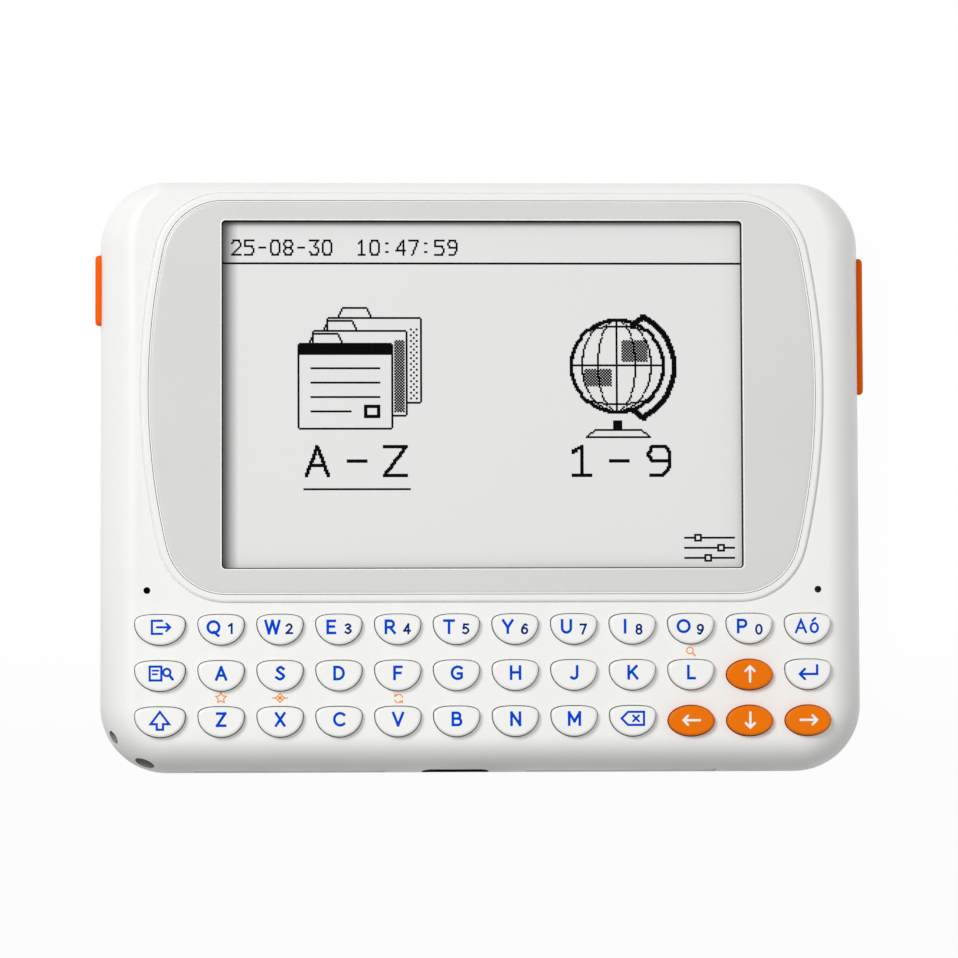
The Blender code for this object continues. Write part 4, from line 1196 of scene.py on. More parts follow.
@dataclass
class FrontCasing:
    """White front of the casing, with the raised rim round the screen panel."""

    form: CasingForm
    barrel: BarrelForm
    keypad: KeypadForm
    screen: ScreenForm
    buttons: tuple[ButtonForm, ...]
    port: PortForm
    edge_steps: int = 20
    rim_width: float = 0.0013
    rim_top: float = 0.0138
    rim_edge: float = 0.0004
    rim_inner_edge: float = 0.00007
    bed_level: float = 0.0127
    key_lip: float = 0.00006
    foot_groove: Point = (0.00016, 0.00012)
    parting_edge: float = 0.00012
    pin_places: tuple[Point, ...] = ((-0.04645, -0.01611), (0.04645, -0.01611))
    pin_radius: float = 0.00042
    pin_lip: float = 0.00006
    boss_radius: float = 0.0023
    boss_end: float = 0.0046
    pilot_radius: float = 0.0011
    pilot_top: float = 0.0093
    grip_offset: float = 0.02305
    grip_length: float = 0.0265
    grip_top: float = 0.0086
    grip_depth: float = 0.00025
    grip_radius: float = 0.0010
    lanyard_level: float = 0.0090
    lanyard_holes: tuple[tuple[float, float], ...] = ((210.5, 0.0010), (249.0, 0.0014))

    def build(self, palette: Palette) -> bpy.types.Object:
        """Makes the front of the casing and dresses it."""
        shell = Workpiece("front_casing", self._outer(), palette.casing)
        # The cavity's cut walls take painted shade, dark grey brown, seen through the gaps round the keys.
        shell.cut(self._foot_groove()).join(self._rim()).cut(self._cavity(), palette.painted_shade_wall)
        shell.join(self._bosses()).cut(self._pilot_holes())
        shell.cut(self._panel_bed()).cut(self._display_opening())
        # The pin holes' cut walls take painted shade, dark grey brown.
        shell.cut(gathered(self._key_holes())).cut(gathered(self._pin_holes()), palette.painted_shade_wall)
        # The port opening's cut walls take the black gasket foam as painted shade in the opening.
        shell.cut(gathered(self._side_slots())).cut(self._port_opening(), palette.gasket)
        # The lanyard bores' cut walls take painted shade, dark grey.
        shell.cut(gathered(self._lanyard_bores()), palette.painted_shade_bore)
        shell.cut(self._grips())
        return shell.finish(Slot.CASING, nodes=["front_shell"])

    def _outer(self) -> bmesh.types.BMesh:
        """Pillow form of the front."""
        form = self.form
        return loft(
            form.pillow(
                0,
                form.front_reaches,
                form.parting_level,
                form.widest_level,
                form.face_level,
                self.edge_steps,
                self.parting_edge,
            )
        )

    def _rim(self) -> bmesh.types.BMesh:
        """Raised rim, as a solid barrel whose bed is cut later."""
        outline, width = self.barrel.outline, self.rim_width
        foot = Ring(outline(width), self.form.cavity_top + SEAT)
        edge = edge_rings(lambda grow: outline(width + grow), self.rim_top, self.rim_edge, 6)
        return loft([foot, *edge])

    def _foot_groove(self) -> bmesh.types.BMesh:
        """Fine groove along the foot of the rim."""
        width, depth = self.foot_groove
        face = self.form.face_level
        outline = self.barrel.outline
        rings = [
            Ring(outline(self.rim_width - SEAT), face - depth),
            Ring(outline(self.rim_width + width * 0.4), face - depth),
            Ring(outline(self.rim_width + width), face),
            Ring(outline(self.rim_width + width), face + OVERRUN),
        ]
        return loft(rings)

    def _cavity(self) -> bmesh.types.BMesh:
        """Hollow inside the front."""
        form = self.form
        return loft(
            form.pillow(
                form.wall,
                (0.0017, 0.0010, 0.0017),
                form.parting_level - OVERRUN,
                form.widest_level,
                form.cavity_top,
                6,
            )
        )

    def _bosses(self) -> bmesh.types.BMesh:
        """Bosses that take the case screws."""
        top = self.form.cavity_top + SEAT
        return pillars(SCREW_PLACES, self.boss_radius, 32, self.boss_end, top)

    def _pilot_holes(self) -> bmesh.types.BMesh:
        """Holes for the screws' shanks."""
        low = self.boss_end - OVERRUN
        return pillars(SCREW_PLACES, self.pilot_radius, 24, low, self.pilot_top)

    def _panel_bed(self) -> bmesh.types.BMesh:
        """Bed of the screen panel, with a rounded inner edge on the rim."""
        return lipped_hole(
            lambda grow: self.barrel.outline(SEAT + grow),
            self.bed_level,
            self.rim_top,
            self.rim_inner_edge,
        )

    def _display_opening(self) -> bmesh.types.BMesh:
        """Opening in the bed, through which the display looks out."""
        return plate(
            self.screen.display(SEAT), self.form.cavity_top - OVERRUN, self.rim_top + OVERRUN
        )

    def _key_holes(self) -> list[bmesh.types.BMesh]:
        """A hole with a rounded lip for each key."""
        low, face = self.form.cavity_top - OVERRUN, self.form.face_level
        return [
            lipped_hole(
                lambda grow, key=key: moved(
                    self.keypad.outline(key, self.keypad.clearance + grow), key.place
                ),
                low,
                face,
                self.key_lip,
            )
            for key in self.keypad.keys()
        ]

    def _pin_holes(self) -> list[bmesh.types.BMesh]:
        """Pin holes for the microphone and the charge light."""
        low, face = self.form.cavity_top - OVERRUN, self.form.face_level
        return round_holes(self.pin_places, self.pin_radius, 32, low, face, self.pin_lip)

    def _side_slots(self) -> list[bmesh.types.BMesh]:
        """Slots through which the side buttons stand out."""
        inner = self.form.width / 2 - self.form.wall - OVERRUN
        outer = self.form.width / 2 + OVERRUN
        forms = []
        for button in self.buttons:
            outline = button.outline(2 * button.end_clearance, 2 * button.clearance)
            form = plate(outline, inner, outer)
            forms.append(placed(form, facing_side(button.side, button.y, button.level)))
        return forms

    def _port_opening(self) -> bmesh.types.BMesh:
        """Opening of the charging port."""
        edge = self.form.height / 2
        outline = self.port.outline(self.port.clearance)
        form = plate(outline, edge - self.form.wall - OVERRUN, edge + OVERRUN)
        return placed(form, facing_bottom(self.port.x, self.port.level))

    def _lanyard_bores(self) -> list[bmesh.types.BMesh]:
        """Two bores through the corner wall; the cord goes in at one and out at the other."""
        form = self.form
        middle = (form.corner_radius - form.width / 2, form.corner_radius - form.height / 2)
        inner, outer = form.corner_radius - form.wall - OVERRUN, form.corner_radius + OVERRUN
        bores = []
        for angle, radius in self.lanyard_holes:
            turn = Matrix.Rotation(math.radians(angle), 4, "Z") @ Matrix.Rotation(RIGHT_ANGLE, 4, "Y")
            place = Matrix.Translation((*middle, self.lanyard_level)) @ turn
            bores.append(placed(plate(circle((0, 0), radius, 40), inner, outer), place))
        return bores

    def _grips(self) -> bmesh.types.BMesh:
        """Two long shallow recesses in the bottom edge, as deep as their distance from a core."""
        form = self.form
        low = form.parting_level - OVERRUN
        height = self.grip_top - low
        edge = form.height / 2
        blocks = []
        for side in (-1, 1):
            outline = rounded_rectangle(
                self.grip_length, height, self.grip_radius, 8, (side * self.grip_offset, 0)
            )
            block = plate(outline, edge - form.wall - OVERRUN, edge + OVERRUN)
            blocks.append(placed(block, facing_bottom(self.port.x, low + height / 2)))
        core = loft(
            form.pillow(
                self.grip_depth,
                form.front_reaches,
                form.parting_level - 2 * OVERRUN,
                form.widest_level,
                form.face_level - self.grip_depth,
                self.edge_steps,
            )
        )
        return Workpiece("grips", gathered(blocks)).cut(core).to_form()


@dataclass
class RearCasing:
    """White back of the casing, with its lip, bosses, screw recesses and speaker grille."""

    form: CasingForm
    top: float = 0.0033
    floor: float = 0.0015
    lip_thickness: float = 0.0008
    lip_height: float = 0.0009
    boss_radius: float = 0.0023
    boss_top: float = 0.0043
    recess_radius: float = 0.0019
    recess_top: float = 0.0019
    way_radius: float = 0.0011
    parting_edge: float = 0.00012
    grille_centre: Point = (0.0300, -0.02055)
    grille_pitch: float = 0.0024
    grille_radius: float = 0.0006
    grille_rings: int = 2
    hole_lip: float = 0.00015

    def build(self, palette: Palette) -> bpy.types.Object:
        """Makes the back of the casing and dresses it."""
        form = self.form
        reaches = (form.back_reach,) * 3
        rings = form.pillow(0, reaches, self.top, form.back_edge_depth, 0, 12, self.parting_edge)
        shell = Workpiece("rear_casing", loft(rings), palette.casing)
        inset = form.wall + SEAT
        lip = plate(form.outline(inset, inset, inset), self.floor + SEAT, self.top + self.lip_height)
        shell.join(lip)
        shell.cut(
            loft(
                form.pillow(
                    inset + self.lip_thickness,
                    (0.0012, 0.0012, 0.0012),
                    self.top + self.lip_height + OVERRUN,
                    form.back_edge_depth,
                    self.floor,
                    6,
                )
            )
        )
        shell.join(pillars(SCREW_PLACES, self.boss_radius, 32, SEAT, self.boss_top))
        shell.cut(gathered([*self._recesses(), *self._grille()]))
        low, high = self.floor - OVERRUN, self.boss_top + OVERRUN
        shell.cut(pillars(SCREW_PLACES, self.way_radius, 24, low, high))
        return shell.finish(Slot.CASING, nodes=["rear_shell"])

    def _recesses(self) -> list[bmesh.types.BMesh]:
        """Recesses for the screw heads, with a rounded lip."""
        return round_holes(
            SCREW_PLACES, self.recess_radius, 40, self.recess_top, 0, self.hole_lip
        )

    def _grille(self) -> list[bmesh.types.BMesh]:
        """The speaker's sound holes, one in the middle and hexagonal rings round it."""
        places = [self.grille_centre]
        for ring in range(1, self.grille_rings + 1):
            corners = circle(self.grille_centre, self.grille_pitch * ring, 6)
            for start, end in zip(corners, corners[1:] + corners[:1]):
                for step in range(ring):
                    share = step / ring
                    x = start[0] + (end[0] - start[0]) * share
                    y = start[1] + (end[1] - start[1]) * share
                    places.append((x, y))
        low = self.floor + OVERRUN
        return round_holes(places, self.grille_radius, 24, low, 0, self.hole_lip)


@dataclass
class Screen:
    """Grey panel with painted highlight lines, the display behind its window and what the display shows."""

    form: ScreenForm
    barrel: BarrelForm
    top: float = 0.0138
    thickness: float = 0.0008
    panel_grow: float = 0.00002
    panel_edge: Point = (0.0006, 0.00010)
    window_edge: float = 0.00003
    highlight_line_width: float = 0.00020
    highlight_line_depth: float = 0.0006
    frame_edge: float = 0.00003
    frame_fit: float = 0.00001
    highlight_line_sink: float = 0.00004
    window_grow: float = 0.00013
    window_highlight_width: float = 0.00020
    gasket_width: float = 0.00015
    gasket_top: float = 0.0134
    cell_edge: float = 0.00015
    dot_pitch: float = 0.0002
    dot_bleed: float = 0.00008
    dot_columns: int = 360
    dot_rows: int = 240
    dot_thickness: float = 0.00001

    def build(self, palette: Palette) -> list[bpy.types.Object]:
        """Makes the panel and the display and dresses them."""
        return [
            self._panel(palette),
            self._panel_painted_highlight(palette),
            self._window_painted_highlight(palette),
            self._gasket(palette),
            self._display(palette),
            self._marks(palette),
        ]

    def _panel(self, palette: Palette) -> bpy.types.Object:
        """Panel with rounded edges and the window cut through it."""
        low = self.top - self.thickness
        rings = [Ring(self.barrel.outline(self.panel_grow), low)]
        across, depth = self.panel_edge
        for drawn_in, down in rounding(1, 8):
            outline = self.barrel.outline(self.panel_grow - across * drawn_in)
            rings.append(Ring(outline, self.top - depth * down))
        panel = Workpiece("screen_panel_face", loft(rings), palette.panel)
        panel.cut(
            lipped_hole(
                lambda grow: self.form.window(self.window_grow + self.window_highlight_width + grow),
                low - OVERRUN,
                self.top,
                self.window_edge,
            )
        )
        return panel.finish(Slot.PANEL, nodes=["screen_panel"])

    def _frame_of(
        self, outline: Callable[[float], Outline], inner: float, outer: float, low: float, high: float
    ) -> bmesh.types.BMesh:
        """Thin frame with rounded upper edges.

        Args:
            outline: Gives the outline grown by a distance.
            inner: How much the inner side's outline grows.
            outer: How much the outer side's outline grows.
            low: Lower level.
            high: Upper level.

        Returns:
            The closed frame.
        """
        edge = rounding(self.frame_edge, 3)
        rings = [Ring(outline(inner), low), Ring(outline(outer), low)]
        rings += [Ring(outline(outer - near), high - down) for near, down in edge]
        rings += [Ring(outline(inner + near), high - down) for near, down in reversed(edge)]
        return loft(rings, closed=True)

    def _panel_painted_highlight(self, palette: Palette) -> bpy.types.Object:
        """Bright line round the panel: a painted highlight of the panel's edge."""
        inner = self.panel_grow + self.frame_fit
        form = self._frame_of(
            self.barrel.outline, inner, inner + self.highlight_line_width, self.top - self.highlight_line_depth,
            self.top - self.highlight_line_sink,
        )
        return Workpiece("panel_trim", form, palette.painted_highlight_look).finish(Slot.PANEL)

    def _window_painted_highlight(self, palette: Palette) -> bpy.types.Object:
        """Bright line round the window: a painted highlight of the window's edge."""
        form = self._frame_of(
            self.form.window, self.window_grow, self.window_grow + self.window_highlight_width,
            self.top - self.highlight_line_depth, self.top,
        )
        return Workpiece("window_trim", form, palette.painted_highlight_look).finish(Slot.PANEL)

    def _gasket(self, palette: Palette) -> bpy.types.Object:
        """Black foam gasket between the panel and the display."""
        form = self._frame_of(
            self.form.window,
            self.window_grow - self.gasket_width,
            self.window_grow - self.frame_fit,
            self.form.display_top,
            self.gasket_top,
        )
        return Workpiece("display_gasket", form, palette.gasket).finish(Slot.BLACK_PARTS)

    def _display(self, palette: Palette) -> bpy.types.Object:
        """Display cell with a bevelled polariser edge."""
        form = self.form
        top = form.display_top - self.dot_thickness
        rings = [Ring(form.display(0), form.display_low)]
        rings += edge_rings(form.display, top, self.cell_edge, 3)
        cell = Workpiece("display_cell", loft(rings), palette.display)
        return cell.finish(Slot.DISPLAY, nodes=["display"])

    def _marks(self, palette: Palette) -> bpy.types.Object:
        """Dark dots of the display."""
        dots = DotPicture(self.dot_columns, self.dot_rows)
        HomeScreen(dots).draw()
        corner = (
            self.form.centre[0] - self.dot_columns * self.dot_pitch / 2,
            self.form.centre[1] + self.dot_rows * self.dot_pitch / 2,
        )
        form = dots.form(corner, self.dot_pitch, self.form.display_top, self.dot_bleed)
        return Workpiece("display_dots", form, palette.dark_dots).finish(Slot.DISPLAY, even=False)


GLYPHS: dict[str, tuple[tuple[Point, ...], ...]] = {
    "0": (((0, 0.2), (0, 0.8), (0.2, 1), (0.8, 1), (1, 0.8), (1, 0.2), (0.8, 0), (0.2, 0), (0, 0.2)),),
    "1": (((0.1, 0.8), (0.5, 1), (0.5, 0)), ((0.1, 0), (0.9, 0))),
    "2": (((0, 0.8), (0.2, 1), (0.8, 1), (1, 0.8), (1, 0.6), (0, 0), (1, 0)),),
    "3": (((0, 1), (1, 1), (0.5, 0.6), (1, 0.4), (1, 0.2), (0.8, 0), (0.2, 0), (0, 0.2)),),
    "4": (((0.8, 0), (0.8, 1), (0, 0.3), (1, 0.3)),),
    "5": (((1, 1), (0, 1), (0, 0.6), (0.8, 0.6), (1, 0.4), (1, 0.2), (0.8, 0), (0, 0)),),
    "7": (((0, 1), (1, 1), (0.4, 0)),),
    "8": (
        ((0.2, 0.5), (0, 0.7), (0, 0.8), (0.2, 1), (0.8, 1), (1, 0.8), (1, 0.7), (0.8, 0.5), (0.2, 0.5)),
        ((0.2, 0.5), (0, 0.3), (0, 0.2), (0.2, 0), (0.8, 0), (1, 0.2), (1, 0.3), (0.8, 0.5)),
    ),
    "9": (((1, 0.5), (0.2, 0.5), (0, 0.7), (0.2, 1), (0.8, 1), (1, 0.8), (1, 0.3), (0.7, 0), (0.1, 0)),),
    "A": (((0, 0), (0.5, 1), (1, 0)), ((0.2, 0.35), (0.8, 0.35))),
    "Z": (((0, 1), (1, 1), (0, 0), (1, 0)),),
    ":": (((0.4, 0.25), (0.5, 0.25)), ((0.4, 0.75), (0.5, 0.75))),
    "-": (((0.1, 0.5), (0.9, 0.5)),),
    " ": (),
}


class DotPicture:
    """Dots of the display that are dark, by column and row from the upper left corner."""

    def __init__(self, columns: int, rows: int) -> None:
        """Starts with every dot clear."""
        self.columns = columns
        self.rows = rows
        self.dark: set[tuple[int, int]] = set()

    def dot(self, column: int, row: int, dark: bool = True) -> None:
        """Darkens or clears one dot."""
        if 0 <= column < self.columns and 0 <= row < self.rows:
            if dark:
                self.dark.add((column, row))
            else:
                self.dark.discard((column, row))

    def line(self, start: Point, end: Point, pen: int = 1, dark: bool = True) -> None:
        """Draws a straight line with a square pen.

        Args:
            start: First column and row.
            end: Last column and row.
            pen: Width of the pen in dots.
            dark: Whether the line is dark or clear.
        """
        steps = max(1, round(max(abs(end[0] - start[0]), abs(end[1] - start[1]))))
        for step in range(steps + 1):
            column = round(start[0] + (end[0] - start[0]) * step / steps)
            row = round(start[1] + (end[1] - start[1]) * step / steps)
            for across in range(pen):
                for down in range(pen):
                    self.dot(column + across, row + down, dark)

    def path(self, points: Sequence[Point], pen: int = 1, dark: bool = True) -> None:
        """Draws straight lines from point to point."""
        for start, end in zip(points, points[1:]):
            self.line(start, end, pen, dark)

    def block(self, left: int, top: int, right: int, bottom: int, dark: bool = True) -> None:
        """Fills a rectangle, both its last column and row included."""
        for row in range(top, bottom + 1):
            for column in range(left, right + 1):
                self.dot(column, row, dark)

    def tint(self, left: int, top: int, right: int, bottom: int, step: int = 2) -> None:
        """Fills a rectangle with an even screen of single dots."""
        for row in range(top, bottom + 1):
            for column in range(left, right + 1):
                if (column + row) % step == 0 and (step == 2 or row % 2 == 0):
                    self.dot(column, row)

    def ellipse(
        self, centre: Point, radii: Point, pen: int = 1, start: float = 0, end: float = 360
    ) -> None:
        """Draws an arc of an ellipse."""
        self.path(arc(centre, radii, start, end, 72), pen)

    def text(
        self, words: str, left: int, top: int, size: tuple[int, int], pen: int, gap: int
    ) -> None:
        """Draws characters in a row.

        Args:
            words: The characters.
            left: Column of the first character.
            top: Row of the characters' tops.
            size: Width and height of a character in dots.
            pen: Width of the pen in dots.
            gap: Clear dots between two characters.
        """
        width, height = size[0] - pen, size[1] - pen
        for number, character in enumerate(words):
            column = left + number * (size[0] + gap)
            for stroke in GLYPHS[character]:
                points = [(column + x * width, top + (1 - y) * height) for x, y in stroke]
                self.path(points, pen)

    def form(self, corner: Point, pitch: float, level: float, bleed: float) -> bmesh.types.BMesh:
        """Thin tiles of the dark dots.

        Args:
            corner: Upper left corner of the picture in the frame.
            pitch: Distance between two dots.
            level: Level of the tiles.
            bleed: How much larger a dark dot is than its pitch.

        Returns:
            One tile for each unbroken run of dots in a row.
        """
        form = bmesh.new()
        for row in range(self.rows):
            columns = sorted(column for column, line in self.dark if line == row)
            runs: list[list[int]] = []
            for column in columns:
                if runs and column == runs[-1][1] + 1:
                    runs[-1][1] = column
                else:
                    runs.append([column, column])
            for first, last in runs:
                middle = (
                    corner[0] + (first + last + 1) / 2 * pitch,
                    corner[1] - (row + 0.5) * pitch,
                    level,
                )
                size = Matrix.Diagonal(((last - first + 1) * pitch + bleed, pitch + bleed, 1, 1))
                bmesh.ops.create_grid(
                    form, x_segments=1, y_segments=1, size=0.5, matrix=Matrix.Translation(middle) @ size
                )
        bmesh.ops.recalc_face_normals(form, faces=form.faces)
        return form


class HomeScreen:
    """What the display shows: a header, two large pictures with labels and a small mark."""

    def __init__(self, dots: DotPicture) -> None:
        """Draws on these dots."""
        self.dots = dots

    def draw(self) -> None:
        """Draws the whole screen."""
        self._header()
        self._cards()
        self._globe()
        self._settings_mark()

    def _header(self) -> None:
        """Date and time over a rule."""
        dots = self.dots
        dots.text("25-08-30", 6, 12, (7, 11), 1, 2)
        dots.text("10:47:59", 93, 12, (7, 11), 1, 2)
        dots.line((0, 28), (359, 28))

    def _cards(self) -> None:
        """Stack of index cards with a tab, and the label under it."""
        dots = self.dots
        for shift in (2, 1, 0):
            left, top = 52 + 10 * shift, 84 - 9 * shift
            right, bottom = left + 65, top + 59
            dots.block(left, top, right, bottom, dark=False)
            dots.path([(left + 1, top), (right - 1, top), (right, top + 1)], 1)
            dots.path([(right, top + 1), (right, bottom - 1), (right - 1, bottom)], 1)
            dots.path([(right - 1, bottom), (left + 1, bottom), (left, bottom - 1), (left, top + 1)], 1)
            dots.path([(left + 7, top), (left + 11, top - 7), (left + 27, top - 7), (left + 31, top)], 1)
            dots.block(left + 12, top - 6, left + 26, top - 1, dark=False)
        dots.block(53, 85, 116, 91)
        for row in (101, 111, 121):
            dots.line((61, row), (108, row))
        dots.line((61, 131), (88, 131))
        dots.block(98, 127, 108, 135)
        dots.block(100, 129, 106, 133, dark=False)
        dots.tint(119, 82, 125, 131)
        dots.tint(129, 73, 135, 122, 4)
        dots.text("A-Z", 57, 155, (17, 22), 2, 10)
        dots.line((56, 185), (129, 185))

    def _globe(self) -> None:
        """Globe on its stand, and the label under it."""
        dots = self.dots
        centre = (273, 99)
        dots.ellipse(centre, (32, 32), 2)
        dots.ellipse(centre, (13, 32), 1)
        dots.ellipse(centre, (24, 32), 1)
        dots.line((273, 67), (273, 131))
        dots.line((242, 99), (304, 99))
        dots.ellipse((273, 78), (24, 6), 1, 180, 360)
        dots.ellipse((273, 120), (24, 6), 1, 0, 180)
        dots.ellipse(centre, (39, 39), 3, -64, 64)
        dots.line((291, 64), (283, 70), 3)
        dots.line((291, 135), (283, 129), 3)
        dots.block(271, 138, 276, 144)
        dots.path([(252, 149), (258, 144), (290, 144), (296, 149), (252, 149)])
        dots.tint(277, 82, 294, 96)
        dots.tint(251, 102, 269, 113)
        dots.text("1-9", 240, 155, (17, 22), 2, 10)

    def _settings_mark(self) -> None:
        """Three small sliders in the lower right corner."""
        dots = self.dots
        for number, knob in enumerate((327, 343, 334)):
            row = 219 + 7 * number
            dots.line((320, row), (354, row))
            dots.block(knob, row - 2, knob + 4, row + 2)
            dots.block(knob + 1, row - 1, knob + 3, row + 1, dark=False)


@dataclass
class KeyCaps:
    """White and orange caps with their flanges, which the front casing holds in."""

    form: KeypadForm
    flange_low: float = 0.0109
    flange_high: float = 0.0115
    flange_grow: float = 0.0004
    top: float = 0.0144
    print_thickness: float = 0.000012
    edge: float = 0.00042
    edge_depth: float = 0.00034
    edge_steps: int = 7

    def build(self, palette: Palette) -> list[bpy.types.Object]:
        """Makes every cap and dresses it."""
        made = []
        for key in self.form.keys():
            is_round = key.shape is CapShape.ROUND
            look = palette.orange_key if is_round else palette.white_key
            cap = Workpiece("cap_" + key.name, self._cap(key), look)
            made.append(
                cap.finish(
                    Slot.ORANGE_KEYS if is_round else Slot.WHITE_KEYS,
                    key.body,
                    ["key_" + key.name],
                )
            )
        return made

    def _cap(self, key: Key) -> bmesh.types.BMesh:
        """Cap with a rounded upper edge."""
        face = self.top - self.print_thickness
        flange = self.form.outline(key, self.flange_grow)
        stem = self.form.outline(key, 0)
        rings = [
            Ring(flange, self.flange_low),
            Ring(flange, self.flange_high),
            Ring(stem, self.flange_high),
        ]
        for share_in, share_down in rounding(1, self.edge_steps):
            outline = self.form.outline(key, -self.edge * share_in)
            rings.append(Ring(outline, face - self.edge_depth * share_down))
        rings = [Ring(moved(ring.outline, key.place), ring.level) for ring in rings]
        return loft(rings)


@dataclass
class Stroke:
    """Line of an even width, drawn as one thin plate."""

    points: Outline
    width: float
    closed: bool = False
    end: LineEnd = LineEnd.ROUND

    def form(self, low: float, high: float) -> bmesh.types.BMesh:
        """Plate of the line between two levels.

        Args:
            low: Lower level.
            high: Upper level.

        Returns:
            The form, with round ends if the line is open.
        """
        right, left = self._beside(-0.5), self._beside(0.5)
        if self.closed:
            rings = [Ring(right, low), Ring(right, high), Ring(left, high), Ring(left, low)]
            return loft(rings, closed=True)
        outline = right + self._cap(self.points[-1], self.points[-2])
        outline += left[::-1] + self._cap(self.points[0], self.points[1])
        return plate(outline, low, high)

    def _cap(self, end: Point, before: Point) -> Outline:
        """Half circle or half square round an end, without its first and last point."""
        angle = math.degrees(math.atan2(end[1] - before[1], end[0] - before[0]))
        half = self.width / 2
        if self.end is LineEnd.ROUND:
            return arc(end, (half, half), angle - 90, angle + 90, 8)[1:-1]
        reach = half * math.sqrt(2)
        return arc(end, (reach, reach), angle - 45, angle + 45, 1)

    def _beside(self, share: float) -> Outline:
        """The line shifted sideways by a share of its width, with mitred corners."""
        found = []
        count = len(self.points)
        for number, point in enumerate(self.points):
            before = self.points[number - 1] if self.closed or number else None
            after = self.points[(number + 1) % count] if self.closed or number < count - 1 else None
            normals = []
            for start, end in ((before, point), (point, after)):
                if start is not None and end is not None:
                    way = Vector((end[0] - start[0], end[1] - start[1])).normalized()
                    normals.append(Vector((-way.y, way.x)))
            middle = sum(normals, Vector((0, 0))).normalized()
            reach = share * self.width / max(0.35, middle.dot(normals[0]))
            found.append((point[0] + middle.x * reach, point[1] + middle.y * reach))
        return found


def drawn(strokes: Sequence[Stroke], top: float, thickness: float) -> bmesh.types.BMesh:
    """Thin print of several strokes; each lies a hair lower than the one before.

    Args:
        strokes: The lines.
        top: Level of the first line's upper side.
        thickness: Thickness of the print.

    Returns:
        The form of all the lines.
    """
    return gathered(
        stroke.form(top - thickness, top - PRINT_STEP * number)
        for number, stroke in enumerate(strokes)
    )


def bowl(reach: float, top: float, bottom: float) -> Outline:
    """Stroke of a letter's bowl: out from the stem, round and back."""
    radius = (top - bottom) / 2
    centre = (reach - radius * 0.95, (top + bottom) / 2)
    return [(0, top), *arc(centre, (radius * 0.95, radius), 90, -90, 14), (0, bottom)]


def bend(points: Sequence[Point], steps: int = 6) -> Outline:
    """Smooth line through points.

    Args:
        points: Points that the line goes through.
        steps: Number of stretches between two points.

    Returns:
        The points of the line.
    """
    ends = [points[0], *points, points[-1]]
    line: Outline = []
    for before, start, end, after in zip(ends, ends[1:], ends[2:], ends[3:]):
        for step in range(steps):
            t = step / steps
            line.append(
                tuple(
                    0.5
                    * (
                        2 * start[axis]
                        + (end[axis] - before[axis]) * t
                        + (2 * before[axis] - 5 * start[axis] + 4 * end[axis] - after[axis]) * t * t
                        + (3 * start[axis] - before[axis] - 3 * end[axis] + after[axis]) * t**3
                    )
                    for axis in (0, 1)
                )
            )
    return [*line, points[-1]]


